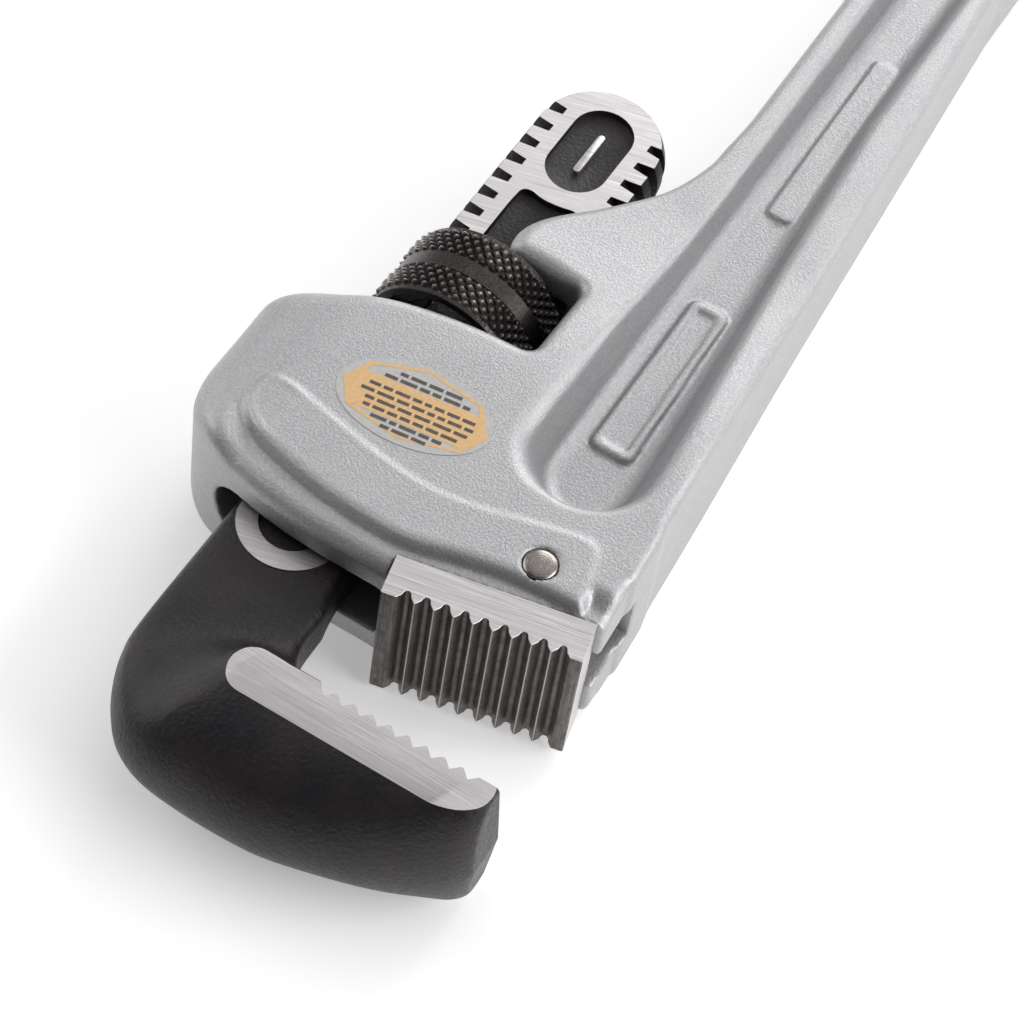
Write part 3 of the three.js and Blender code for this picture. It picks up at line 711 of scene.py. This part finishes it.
def housing_field(g):
    block = g.outline(block_outline())
    handle = g.outline(handle_outline())
    finger = g.outline(finger_outline())
    plan = join(join(block, handle, 2.0), finger, 2.0)

    # Half thickness: level on the block, falling to the handle, with the pad and its gutter
    half = BLOCK_HALF_THICK - (BLOCK_HALF_THICK - HANDLE_HALF_THICK) * step_up(g.x, 36, 92)
    pad = g.outline(pad_outline())
    half = half - 1.3 * step_up(g.y, 11, 27) * step_up(-g.x, -50, -30)
    ahead = step_up(-g.x, -9.5, -5) * step_up(-g.y, -20, -12)
    half = half - 1.9 * ahead * step_up(pad, 0.0, 1.9)
    half = half + 0.3 * step_up(-pad, -0.3, 0.9)
    ridge = np.exp(-((pad + 0.2) / 0.62) ** 2)
    half = half + (0.09 + 0.22 * step_up(g.y, 7, 13)) * ridge * (1 - ahead * (1 - step_up(g.y, 5, 12)))

    # Edge radius: large along the block's left side, small at the nut's window
    edge = (2.2 + 2.9 * step_up(g.y, 6, 20) * step_up(-g.x, -46, -34) * (1 - step_up(-g.x, -8, 1))
            + 1.2 * step_up(g.y, -30, -20) * step_up(-g.x, -50, -20)
            + 1.0 * step_up(g.x, 56, 62) * step_up(g.y, -17, -9))
    solid = meet(plan[:, :, None], g.z - half[:, :, None], edge[:, :, None])

    # Recess of the I-beam, with leaning walls and raised blank panels on its floor
    floor = g.outline(recess_outline())
    web = WEB_HALF_THICK + 0.8 * step_up(-g.outline(panel_outline()), -0.35, 0.35)
    inner = g.outline(rounded([(42, -34.9), (42, -39.9), (77, -38.9), (77, -34.7)], 1.2))
    web = web - 0.5 * step_up(-inner, -0.35, 0.35)
    web = web + 0.6 * step_up(-g.outline(far_panel_outline()), -0.35, 0.35)
    lean = (floor[:, :, None] - 0.43 * (g.z - WEB_HALF_THICK)) / math.hypot(1, 0.43)
    hollow = meet(lean, web[:, :, None] - g.z, 2.2)
    rim = 1.3 + 1.3 * step_up(g.y, -36, -29) * step_up(-g.x, -62, -44)
    solid = cut(solid, hollow, rim[:, :, None])

    # Tunnel for the shank and slot behind the nut
    round_y = TUNNEL_LEFT_Y - TUNNEL_HALF_HEIGHT
    tall = np.maximum(g.y[:, :, None] - round_y, 0)
    tunnel = np.maximum(np.hypot(tall, g.z) - TUNNEL_HALF_HEIGHT, TUNNEL_RIGHT_Y - g.y[:, :, None])
    tunnel = np.maximum(tunnel, (g.x - WINDOW_FRONT_X - 8)[:, :, None])
    solid = cut(solid, tunnel, 0.6)
    behind = np.maximum(REAR_SLOT_FLOOR_Y - g.y, WINDOW_REAR_X - 6 - g.x)
    slot = np.maximum(g.z - REAR_SLOT_HALF, behind[:, :, None])
    solid = cut(solid, slot, 0.7)

    # Seat of the heel jaw, its tang's slot, and the holes
    s, c = math.sin(HEEL_TILT), math.cos(HEEL_TILT)
    dx, dy = g.x - HEEL_CORNER[0], g.y - HEEL_CORNER[1]
    along = dx * s - dy * c
    back = dx * c + dy * s
    seat = np.maximum(back - HEEL_DEPTH - GAP, -along - GAP)
    solid = cut(solid, seat[:, :, None], 0.35)
    tang = np.maximum(back - HEEL_DEPTH - TANG_DEPTH - 2 * GAP, TANG_START - GAP - along)
    solid = cut(solid, np.maximum(tang[:, :, None], g.z - TANG_HALF_THICK - GAP), 0.3)
    px, py = heel_point(PIN_ALONG, HEEL_DEPTH + PIN_BEHIND)
    solid = cut(solid, (np.hypot(g.x - px, g.y - py) - PIN_R - 0.12)[:, :, None], 0.3)
    hx, hy = HANG_HOLE
    solid = cut(solid, (np.hypot(g.x - hx, g.y - hy) - HANG_HOLE_R)[:, :, None], 1.2)
    pocket = np.hypot((g.x - COIL_X)[:, :, None], g.z) - COIL_R - COIL_WIRE_R - 0.5
    pocket = np.maximum(pocket, np.maximum(COIL_FLOOR_Y - g.y, g.y + 18)[:, :, None])
    solid = cut(solid, pocket, 0.3)
    hole = np.hypot((g.x - RIVET_X)[:, :, None], g.z) - RIVET_R - GAP
    hole = np.maximum(hole, np.maximum(-25.2 - g.y, g.y + 18)[:, :, None])
    return cut(solid, hole, 0.2)


def make_housing(material):
    g = Field((-14, -60), (HANDLE_END_X + 2, BLOCK_LEFT_Y + 2), 18, 0.5)
    vertices, faces = g.surface(housing_field(g))
    piece = make_piece("handle_casting", vertices, faces, [material])
    thin = piece.modifiers.new("thin", "DECIMATE")
    thin.ratio = min(1.0, 190000 / (2 * len(faces)))
    apply_modifiers(piece)
    smooth(piece, 50)
    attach(piece, "handle")
    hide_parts("handle_housing")


# ---- Hook jaw ----


def hook_back_line():
    return smooth_line([
        (12, NECK_LEFT_Y), (-13.5, NECK_LEFT_Y), (-33.5, 11.5), (-39.5, 10.7), (-44.5, 8.9), (-49.5, 6),
        (-54, 1.8), (-56.6, -4), (-57.45, -12), (-57.5, -21), (-56.6, -29.5), (-53, -41.5), (-49.7, -49.3),
        (-45.3, -56.2), (-40.5, -62.9),
    ])


def hook_field(g):
    """The forging: an oval section between its back and the ground strip, a thin neck, a rounded throat."""
    back = g.outline(hook_back_line() + [(-20, -120), (80, -120), (80, NECK_LEFT_Y)])
    strip_x, strip_y, strip_r = STRIP
    strip = np.hypot(g.x - strip_x, np.maximum(g.y - strip_y, 0)) - strip_r
    corner = -0.81 * (g.x + 38.3) - 0.58 * (g.y + 57.6)
    strip = meet(strip, corner, 2.0)
    share = np.maximum(-back, 0) / (np.maximum(-back, 0) + np.maximum(strip, 0) + 0.01)
    edge = math.sqrt(1 - (JAW_HALF_THICK / OVAL_HEIGHT) ** 2)
    out = 1 - (1 - edge) * share + np.maximum(back, 0) / 20
    out = np.where(strip < 0, edge * (1 - np.clip(-strip / strip_r, 0, 1)), out)
    oval = (np.hypot(out[:, :, None], g.z / OVAL_HEIGHT) - 1) * OVAL_HEIGHT

    mouth = g.outline(curve(
        (40, -13.1), (-8, -13.1), ((-11, -13.1), (-15.5, NECK_RIGHT_Y)), (-20.5, NECK_RIGHT_Y),
        ((-28.6, NECK_RIGHT_Y), (-31.4, -22.5)), (-31.4, -120), (40, -120),
    ))
    soft = 1.2 + 3.4 * step_up(g.y, -23, -16)
    solid = meet(oval, -mouth[:, :, None], soft[:, :, None])

    # Neck: the section falls, steeply beside the strip's end and gently along the back, to a thin bar
    leftward = step_up(-g.x, 26, 52)
    reach = 2.6 + 9 * leftward
    limit = NECK_HALF_THICK + 9.8 * np.exp(-np.maximum(strip, 0) / reach) + 6 * step_up(-strip, -0.3, 1.5)
    limit = limit + 12 * step_up(-g.y, -2, 20) * step_up(-g.x, 37, 50)
    solid = meet(solid, g.z - limit[:, :, None], 2.0)

    # Tip: a steep end face
    end = HOOK_TIP_Y - 0.3 - g.y + 0.02 * (g.x + 33)
    tip_soft = 1.4 + 1.8 * step_up(-g.x, 36, 42)
    solid = meet(solid, end[:, :, None] + 0.09 * g.z, tip_soft[:, :, None])
    return np.maximum(solid, (g.x - 12)[:, :, None])


def tooth_line():
    """The hook's tooth face, from the throat to past the tip, with V notches."""
    points = [(TOOTH_FACE_X + 6, HOOK_TEETH_START_Y + 3.6), (TOOTH_FACE_X, HOOK_TEETH_START_Y + 1.6)]
    for k in range(HOOK_TEETH):
        y = HOOK_TEETH_START_Y - k * TOOTH_PITCH
        points += [(TOOTH_FACE_X, y + TOOTH_PITCH * 0.43), (TOOTH_FACE_X - TOOTH_DEPTH, y),
                   (TOOTH_FACE_X, y - TOOTH_PITCH * 0.43)]
    points += [(TOOTH_FACE_X, HOOK_TIP_Y - 8), (TOOTH_FACE_X + 14, HOOK_TIP_Y - 8),
               (TOOTH_FACE_X + 14, HOOK_TEETH_START_Y + 3.6)]
    return points


def helix_bar(name, section, start, end, steps, material):
    """A four-sided bar on the thread's helix about X, the angle counted from +Y towards +Z."""
    vertices = []
    for k in range(steps + 1):
        angle = start + (end - start) * k / steps
        x = THREAD_PHASE_X + THREAD_PITCH * angle / (2 * math.pi)
        vertices += [(x + dx, r * math.cos(angle), r * math.sin(angle)) for dx, r in section]
    last = steps * 4
    faces = [[0, 1, 2, 3], [last + 3, last + 2, last + 1, last]]
    for k in range(steps):
        for j in range(4):
            a, b = k * 4 + j, k * 4 + (j + 1) % 4
            faces.append([a, a + 4, b + 4, b])
    piece = make_piece(name, vertices, faces, [material])
    outward(piece)
    return piece


def thread_tools(material):
    """Cutters of the thread grooves in the shank's two edges, with a rounded root."""
    top = THREAD_OUTER_R + 1
    half = GROOVE_ROOT_HALF + GROOVE_FLANK * (top - THREAD_ROOT_R)
    section = [(-GROOVE_ROOT_HALF, THREAD_ROOT_R), (GROOVE_ROOT_HALF, THREAD_ROOT_R),
               (half, top), (-half, top)]
    reach = math.asin(SHANK_HALF_THICK / THREAD_ROOT_R) + 0.1
    first = math.ceil((THREAD_START_X - THREAD_PHASE_X) / THREAD_PITCH)
    last = math.floor((SHANK_ROUND_X + THREAD_OUTER_R * 0.3 - THREAD_PHASE_X) / THREAD_PITCH)
    tools = []
    for turn in range(first, last + 1):
        for edge in (0, math.pi):
            middle = turn * 2 * math.pi + edge
            bar = helix_bar(f"groove_{turn}", section, middle - reach, middle + reach, 12, material)
            tools.append(bar)
    return tools


def join_objects(pieces):
    """One object of separate closed solids."""
    mesh = bmesh.new()
    for piece in pieces:
        mesh.from_mesh(piece.data)
    mesh.to_mesh(pieces[0].data)
    mesh.free()
    for piece in pieces[1:]:
        bpy.data.objects.remove(piece)
    return pieces[0]


def shank_bar(ground, black):
    """The flat bar: round edges cut from a turned bar, flats ground, pockets and grooves left black."""
    profile = [(-16, 0.0)]
    profile += [(-16, THREAD_OUTER_R)]
    profile += [(SHANK_ROUND_X + THREAD_OUTER_R * math.sin(a), THREAD_OUTER_R * math.cos(a))
                for a in np.linspace(0, math.pi / 2, 25)]
    profile[-1] = (SHANK_ROUND_X + THREAD_OUTER_R, 0.0)
    bar = lathe("hook_bar", profile, 0, (0, 0, 0), 128, [black])
    flat = arc(RING_X, 0, RING_R, 110, 250, 24) + curve(
        (-3, -9.9), ((4, -10), (10, -14)), (130, -14), (130, 14), (10, 14), ((4, 10), (-3, 9.9)))[1:]
    slab = plate("slab", flat, -SHANK_HALF_THICK, SHANK_HALF_THICK, ground)
    combine(bar, [slab], "INTERSECT")
    combine(bar, [join_objects(thread_tools(black))])
    floor = SHANK_HALF_THICK - POCKET_DEPTH
    long_pocket = (arc(RING_X, 0, POCKET_R, 90, 270, 20)
                   + curve((81, -POCKET_R), ((83.4, -POCKET_R), (82.9, -4.2)), ((81.6, 0.6), (82.6, 3.4)),
                           ((82.9, 5.9), (80.6, 5.9)), (78, POCKET_R)))
    end_pocket = slot_outline(92.4, 101.8, POCKET_R, 20)
    for side in (1, -1):
        for outline in (long_pocket, end_pocket):
            low, high = sorted((side * floor, side * 12))
            combine(bar, [plate("pocket", outline, low, high, black, bevel=0.35)])
        # A plain raised bar takes the place of the raised marks on the pocket's floor
        low, high = sorted((side * (floor - 0.5), side * (floor + 1.0)))
        mark = slot_outline(92.6, 101.6, 0.75, 8)
        combine(bar, [plate("raised_bar", mark, low, high, ground, bevel=0.2)], "UNION")
    return bar


def make_hook(black, strip_ground, shank_ground):
    g = Field((-60, -64), (14, 14), 18, 0.4)
    vertices, faces = g.surface(hook_field(g))
    hook = make_piece("hook_forging", vertices, faces, [black])
    far = 40
    for side in (1, -1):
        low, high = sorted((side * JAW_HALF_THICK, side * 30))
        cover = [(-80, -80), (far, -80), (far, 40), (-80, 40)]
        combine(hook, [plate("above", cover, low, high, strip_ground)])
    combine(hook, [plate("teeth", tooth_line(), -25, 25, strip_ground)])
    combine(hook, [shank_bar(shank_ground, black)], "UNION")
    smooth(hook, 32)
    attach(hook, "hook_jaw")
    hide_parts("hook_jaw")
    return hook


# ---- Adjusting nut ----

KNURL_COUNT = 45
KNURL_DEPTH = 0.85
KNURL_STEPS = 6  # mesh steps per pitch, even so that the peaks fall on vertices


def knurl(turn, along, pitch):
    """Height from 0 to 1 of a knurl of pyramids."""
    a = turn * KNURL_COUNT / (2 * math.pi)
    b = along / pitch
    first = 1 - np.abs(2 * ((a + b) % 1) - 1)
    second = 1 - np.abs(2 * ((a - b) % 1) - 1)
    return np.minimum(first, second)


def make_nut(steel):
    rear = NUT_FRONT_X + NUT_WIDTH
    middle = NUT_FRONT_X + NUT_WIDTH / 2
    chamfer = 0.9
    pitch = 2 * math.pi * NUT_R / KNURL_COUNT
    around = KNURL_COUNT * KNURL_STEPS
    band = (1.9, NUT_WIDTH / 2 - chamfer)  # distances of a knurled band's edges from the middle
    plain = NUT_R - 0.6
    turn = np.arange(around) * 2 * math.pi / around

    def ring(x, radius):
        return np.stack([np.full(around, x), radius * np.cos(turn), radius * np.sin(turn)], 1)

    step = pitch / KNURL_STEPS
    inner = np.arange(math.ceil((band[0] + 0.2) / step), (band[1] - 0.2) / step) * step
    places = np.concatenate([[band[0]], inner, [band[1]]])
    rings = [ring(NUT_FRONT_X, NUT_BORE_R + 0.35), ring(NUT_FRONT_X, NUT_R - chamfer - 0.1),
             ring(NUT_FRONT_X + 0.12, NUT_R - chamfer)]
    for side, offsets in ((-1, places[::-1]), (1, places)):
        for offset in offsets:
            height = knurl(turn, offset, pitch)
            share = 0.25 if offset in band else 1
            rings.append(ring(middle + side * offset, NUT_R - KNURL_DEPTH + KNURL_DEPTH * height * share))
        if side < 0:
            rings += [ring(middle + offset, plain) for offset in (-band[0] + 0.2, band[0] - 0.2)]
    rings += [ring(rear - 0.12, NUT_R - chamfer), ring(rear, NUT_R - chamfer - 0.1),
              ring(rear, NUT_BORE_R + 0.35), ring(rear - 0.35, NUT_BORE_R),
              ring(NUT_FRONT_X + 0.35, NUT_BORE_R)]
    count = len(rings)
    heights = [np.hypot(r[:, 1], r[:, 2]) for r in rings]
    faces = []
    for r in range(count):
        s = (r + 1) % count
        for k in range(around):
            n = (k + 1) % around
            a, b, c, d = r * around + k, r * around + n, s * around + n, s * around + k
            # The split follows a valley between two pyramids
            if heights[r][k] + heights[s][n] <= heights[r][n] + heights[s][k]:
                faces += [[a, b, c], [a, c, d]]
            else:
                faces += [[a, b, d], [b, c, d]]
    nut = make_piece("adjusting_nut_knurled", np.concatenate(rings), faces, [steel])
    outward(nut)
    crest = THREAD_ROOT_R + GAP * 1.5
    crest_half = GROOVE_ROOT_HALF - GAP
    root = NUT_BORE_R + 0.5
    root_half = crest_half + GROOVE_FLANK * (root - crest)
    section = [(-crest_half, crest), (crest_half, crest), (root_half, root), (-root_half, root)]
    start, end = (2 * math.pi * (x - THREAD_PHASE_X) / THREAD_PITCH for x in (NUT_FRONT_X + 1, rear - 1))
    thread = helix_bar("thread", section, start, end, 160, steel)
    combine(nut, [thread], "UNION")
    smooth(nut, 22)
    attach(nut, "adjusting_nut")
    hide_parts("adjusting_nut")


# ---- Heel jaw and its pin ----


def heel_profile():
    """Toothed front of the block in heel coordinates, left to right, with rounded roots."""
    points = [(0.0, 0.25), (0.25, 0.0)]
    crest = 0.10
    for k in range(HEEL_GROOVES):
        middle = HEEL_FIRST_GROOVE + k * TOOTH_PITCH
        half = TOOTH_PITCH / 2 - crest
        points += [(middle - half, 0.0), (middle - half * 0.52, 0.95), (middle - 0.62, 1.62),
                   (middle - 0.36, 1.86), (middle, 1.95), (middle + 0.36, 1.86), (middle + 0.62, 1.62),
                   (middle + half * 0.52, 0.95), (middle + half, 0.0)]
    points += [(HEEL_LENGTH - 0.25, 0.0), (HEEL_LENGTH, 0.25)]
    return points


def make_heel(oxide, ground, worn):
    front = heel_profile()
    corners = [(HEEL_LENGTH, HEEL_DEPTH), (0.0, HEEL_DEPTH)]
    outline = [heel_point(*p) for p in front + corners]
    block = plate("heel_block", outline, -HEEL_HALF_THICK, HEEL_HALF_THICK, oxide)
    tang = [heel_point(a, b) for a, b in (
        (TANG_START, HEEL_DEPTH - 1), (HEEL_LENGTH - 1, HEEL_DEPTH - 1),
        (HEEL_LENGTH - 1, HEEL_DEPTH + TANG_DEPTH), (TANG_START, HEEL_DEPTH + TANG_DEPTH))]
    combine(block, [plate("tang", tang, -TANG_HALF_THICK, TANG_HALF_THICK, oxide, bevel=0.4)], "UNION")
    px, py = heel_point(PIN_ALONG, HEEL_DEPTH + PIN_BEHIND)
    combine(block, [plate("bore", arc(px, py, PIN_R + 0.15, 0, 345, 23), -9, 9, oxide)])
    block.data.materials.append(ground)
    block.data.materials.append(worn)
    end_slots = [m.name for m in block.data.materials]
    ground_slot, worn_slot = end_slots.index(ground.name), end_slots.index(worn.name)
    round_edges(block, 0.12, segments=1, angle=60)
    tilt = (math.cos(HEEL_TILT), math.sin(HEEL_TILT))
    for face in block.data.polygons:
        centre = (face.center - ORIGIN) / MM
        dx, dy = centre.x - HEEL_CORNER[0], centre.y - HEEL_CORNER[1]
        back = dx * tilt[0] + dy * tilt[1]
        along = dx * tilt[1] - dy * tilt[0]
        if abs(face.normal.z) > 0.5 and abs(centre.z) > HEEL_HALF_THICK - 0.2:
            face.material_index = ground_slot
        elif along > HEEL_LENGTH - 0.1 and abs(face.normal.z) < 0.5:
            face.material_index = ground_slot
        elif back < 0.06 and face.area < 12e-6 and 2 < along < HEEL_LENGTH - 2:
            face.material_index = worn_slot
    smooth(block, 30)
    block.name = "heel_jaw_toothed"
    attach(block, "handle")
    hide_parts("heel_jaw")


def make_pin(steel):
    px, py = heel_point(PIN_ALONG, HEEL_DEPTH + PIN_BEHIND)
    face = BLOCK_HALF_THICK - 0.1
    dome = [(face + 0.7 * math.cos(a), PIN_R * math.sin(a)) for a in np.linspace(0, math.pi / 2, 16)]
    profile = [(z, r) for z, r in dome[:-1]] + [(face - 0.05, PIN_R)]
    profile = profile + [(-z, r) for z, r in reversed(profile)]
    pin = lathe("heel_pin_turned", profile, 2, (px, py, 0), 64, [steel])
    smooth(pin, 40)
    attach(pin, "handle")
    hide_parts("heel_jaw_pin")


# ---- Springs ----


def make_leaf(steel):
    wall = TUNNEL_RIGHT_Y + GAP
    rear = 40.0
    front = 4.0
    top = curve((rear, wall + LEAF_THICK), (rear - 8, wall + LEAF_THICK),
                ((COIL_X + 6, LEAF_FACE_Y), (COIL_X, LEAF_FACE_Y)), (front + 5, LEAF_FACE_Y),
                ((front + 2, LEAF_FACE_Y), (front, LEAF_FACE_Y - 1.5)))
    face = LEAF_FACE_Y - LEAF_THICK
    low = curve((front, face - 1.5), ((front + 2, face), (front + 5, face)), (COIL_X, face),
                ((COIL_X + 6, face), (rear - 8, wall)), (rear, wall))
    leaf = plate("leaf_spring_strip", top + low, -LEAF_HALF_HEIGHT, LEAF_HALF_HEIGHT, steel, bevel=0.12)
    smooth(leaf, 30)
    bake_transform(leaf)
    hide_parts("flat_spring")


def make_coil(steel):
    low = COIL_FLOOR_Y + GAP + COIL_WIRE_R
    high = LEAF_FACE_Y - LEAF_THICK - GAP - COIL_WIRE_R
    steps = COIL_TURNS * 24
    sides = 10
    vertices, faces = [], []
    climb = (high - low) / (2 * math.pi * COIL_TURNS)
    for k in range(steps + 1):
        angle = 2 * math.pi * COIL_TURNS * k / steps
        out = np.array([math.cos(angle), 0, math.sin(angle)])
        ahead = np.array([-COIL_R * math.sin(angle), climb, COIL_R * math.cos(angle)])
        ahead /= np.linalg.norm(ahead)
        side = np.cross(ahead, out)
        centre = np.array([COIL_X, low + climb * angle, 0]) + COIL_R * out
        for j in range(sides):
            a = 2 * math.pi * j / sides
            vertices.append(centre + COIL_WIRE_R * (math.cos(a) * out + math.sin(a) * side))
    for k in range(steps):
        for j in range(sides):
            a, b = k * sides + j, k * sides + (j + 1) % sides
            faces.append([a, b, b + sides, a + sides])
    faces.append(list(range(sides))[::-1])
    faces.append([steps * sides + j for j in range(sides)])
    coil = make_piece("coil_spring_wire", vertices, faces, [steel])
    outward(coil)
    smooth(coil, 50)
    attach(coil, "handle")
    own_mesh(coil)
    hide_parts("coil_spring")


def make_rivet(steel):
    wall = TUNNEL_RIGHT_Y + GAP + LEAF_THICK
    stem = [(wall - 6, 0.0), (wall - 6, RIVET_R - 0.2), (wall - 5.8, RIVET_R), (wall + GAP, RIVET_R)]
    head = [(wall + GAP, 1.7), (wall + 0.55, 1.62), (wall + 0.85, 1.25), (wall + 1.02, 0.7),
            (wall + 1.08, 0.0)]
    profile = stem + head
    rivet = lathe("spring_rivet_headed", profile, 1, (RIVET_X, 0, 0), 40, [steel])
    smooth(rivet, 40)
    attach(rivet, "handle")
    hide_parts("spring_rivet")


# ---- Label ----

LABEL_CENTRE = (22.2, -7.4)
LABEL_FACE = 16.05
LABEL_LEAN = 0.13  # radians
LABEL_HALF_SIZE = (8.6, 14.5)
DASH_HALF_HEIGHT = 0.36


def on_label(u, v):
    """A point of the label's own axes, leaning, in the design's axes."""
    c, s = math.cos(LABEL_LEAN), math.sin(LABEL_LEAN)
    return LABEL_CENTRE[0] + u * c - v * s, LABEL_CENTRE[1] + u * s + v * c


def make_label(film, amber, ink):
    def flat(name, outline, height, material):
        return plate(name, outline, LABEL_FACE - 0.05, LABEL_FACE + height, material)

    cx, cy = LABEL_CENTRE
    lean = LABEL_LEAN
    oval = [on_label(LABEL_HALF_SIZE[0] * math.cos(a), LABEL_HALF_SIZE[1] * math.sin(a))
            for a in np.linspace(0, 2 * math.pi, 72, endpoint=False)]
    outer = [(26.0, 3.9), (30.3, -5.6), (29.1, -17.2), (23.6, -21.3), (18.3, -18.9), (14.7, -8.2),
             (15.9, 2.7), (20.6, 6.2)]
    centre = np.mean(outer, axis=0)
    inner = [tuple(centre + (np.array(p) - centre) * 0.92) for p in outer]
    pieces = [flat("film", oval, 0.04, film)]

    def clipped(points, x_low, x_high):
        """The part of an outline between two slanted lines that follow the label's lean."""
        def side(points, test, level):
            made = []
            for p, q in zip(points, points[1:] + points[:1]):
                a, b = test(p) - level, test(q) - level
                if a >= 0:
                    made.append(p)
                if a * b < 0:
                    t = a / (a - b)
                    made.append((p[0] + (q[0] - p[0]) * t, p[1] + (q[1] - p[1]) * t))
            return made
        across = lambda p: (p[0] - cx) * math.cos(lean) + (p[1] - cy) * math.sin(lean)
        kept = side(points, across, x_low)
        return side(kept, lambda p: -across(p), -x_high)

    pieces.append(flat("band", clipped(inner, -4.4, 3.2), 0.07, amber))
    count = len(outer)
    for k in range(count):
        n = (k + 1) % count
        pieces.append(flat(f"edge_{k}", [outer[k], outer[n], inner[n], inner[k]], 0.07, amber))
    # Plain dark dashes stand in for the printed lines
    rng = np.random.default_rng(7)
    for row, level in enumerate((-6.3, -4.95, -3.3, -1.75, -0.2, 1.35, 3.9, 5.3)):
        spread = 10.6 - 0.055 * (abs(level) * 1.7) ** 2
        start = -spread
        while start < spread - 1.2:
            length = rng.uniform(1.3, 3.4)
            end = min(start + length, spread)
            half = DASH_HALF_HEIGHT
            bar = [(level - half, start), (level + half, start), (level + half, end), (level - half, end)]
            bar = [(x, y - 0.6) for x, y in (on_label(u, v) for u, v in bar)]
            pieces.append(flat(f"dash_{row}", bar, 0.09, ink))
            start = end + 0.55
    slots = [film, amber, ink]
    merged = bmesh.new()
    for piece in pieces:
        slot = slots.index(piece.data.materials[0])
        for face in piece.data.polygons:
            face.material_index = slot
        merged.from_mesh(piece.data)
    mesh = bpy.data.meshes.new("label_printed")
    merged.to_mesh(mesh)
    merged.free()
    for material in slots:
        mesh.materials.append(material)
    for piece in pieces:
        bpy.data.objects.remove(piece)
    made = bpy.data.objects.new("label_printed", mesh)
    bpy.context.scene.collection.objects.link(made)
    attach(made, "handle")
    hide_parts("label")


# ---- Floor, lights and sky ----


def make_floor():
    s = Shader("floor_paper", Roughness=0.9, Metallic=0.0)
    s.out.inputs["Specular IOR Level"].default_value = 0.1
    s.out.inputs["Emission Color"].default_value = (1, 1, 1, 1)
    s.out.inputs["Emission Strength"].default_value = 0.28
    tone = s.noise(60, detail=2)
    s.colour(s.blend(s.ramp(tone, 0.2, 0.8), (0.93, 0.93, 0.93), (0.95, 0.95, 0.95)))
    mesh = bpy.data.meshes.new("floor")
    size = 3.0  # metres
    corners = [(-size, -size, 0), (size, -size, 0), (size, size, 0), (-size, size, 0)]
    mesh.from_pydata(corners, [], [(0, 1, 2, 3)])
    mesh.materials.append(s.material)
    floor = bpy.data.objects.new("floor", mesh)
    bpy.context.scene.collection.objects.link(floor)


def add_light(name, x, y, z, size, power, aim=(20, -20, 0), colour=(1, 1, 1)):
    lamp = bpy.data.lights.new(name, "AREA")
    lamp.shape = "RECTANGLE"
    lamp.size, lamp.size_y = size
    lamp.energy = power
    lamp.color = colour
    light = bpy.data.objects.new(name, lamp)
    light.location = place(x, y, z)
    to = place(*aim) - light.location
    light.rotation_euler = to.to_track_quat("-Z", "Y").to_euler()
    bpy.context.scene.collection.objects.link(light)


def make_lights():
    """Bright behind and overhead, darker from the camera's side."""
    world = bpy.data.worlds.new("studio")
    world.use_nodes = True
    tree = world.node_tree
    background = tree.nodes["Background"]
    spot = tree.nodes.new("ShaderNodeTexCoord")
    parts = tree.nodes.new("ShaderNodeSeparateXYZ")
    tree.links.new(spot.outputs["Generated"], parts.inputs["Vector"])

    def ramp(axis, low, high, from_value, to_value):
        made = tree.nodes.new("ShaderNodeMapRange")
        made.interpolation_type = "SMOOTHSTEP"
        names = ("From Min", "From Max", "To Min", "To Max")
        for name, value in zip(names, (low, high, from_value, to_value)):
            made.inputs[name].default_value = value
        tree.links.new(parts.outputs[axis], made.inputs["Value"])
        return made.outputs["Result"]

    shade = tree.nodes.new("ShaderNodeMath")
    shade.operation = "MULTIPLY"
    tree.links.new(ramp("X", -0.45, 0.5, 0.16, 0.92), shade.inputs[0])
    tree.links.new(ramp("Y", 0.2, 0.5, 1.06, 0.72), shade.inputs[1])
    tree.links.new(shade.outputs["Value"], background.inputs["Strength"])
    background.inputs["Color"].default_value = (0.99, 0.99, 1.0, 1)
    bpy.context.scene.world = world
    add_light("right", 150, -850, 480, (0.8, 0.5), 6.0)
    add_light("left", -50, 850, 560, (0.8, 0.6), 3.0)
    add_light("rear", 950, 50, 420, (0.7, 0.5), 4.0)
    bpy.context.scene.view_settings.view_transform = "Standard"


# ---- Making ----

make_camera()
aluminium = cast_aluminium()
black = black_forging()
strip_ground = ground_steel("strip_ground", math.radians(90))
shank_ground = ground_steel("shank_ground", math.radians(75))
heel_ground = ground_steel("heel_ground", math.radians(78))
worn_steel = ground_steel("worn_crest", 0.0, (0.42, 0.40, 0.385))
heel_oxide = dark_steel("heel_oxide", (0.088, 0.077, 0.073), (0.18, 0.162, 0.153))
steel_pin = turned_steel(place(*heel_point(PIN_ALONG, HEEL_DEPTH + PIN_BEHIND), 0))
steel_spring = spring_steel()

make_housing(aluminium)
make_hook(black, strip_ground, shank_ground)
make_nut(nut_steel())
make_heel(heel_oxide, heel_ground, worn_steel)
make_pin(steel_pin)
make_leaf(steel_spring)
make_coil(steel_spring)
make_rivet(steel_pin)
make_label(
    label_print("label_film", (0.42, 0.415, 0.40), (0.48, 0.47, 0.455)),
    label_print("label_amber", (0.62, 0.38, 0.16), (0.69, 0.44, 0.20)),
    label_print("label_ink", (0.05, 0.04, 0.03), (0.08, 0.06, 0.05)),
)
make_floor()
make_lights()

bpy.context.view_layer.update()
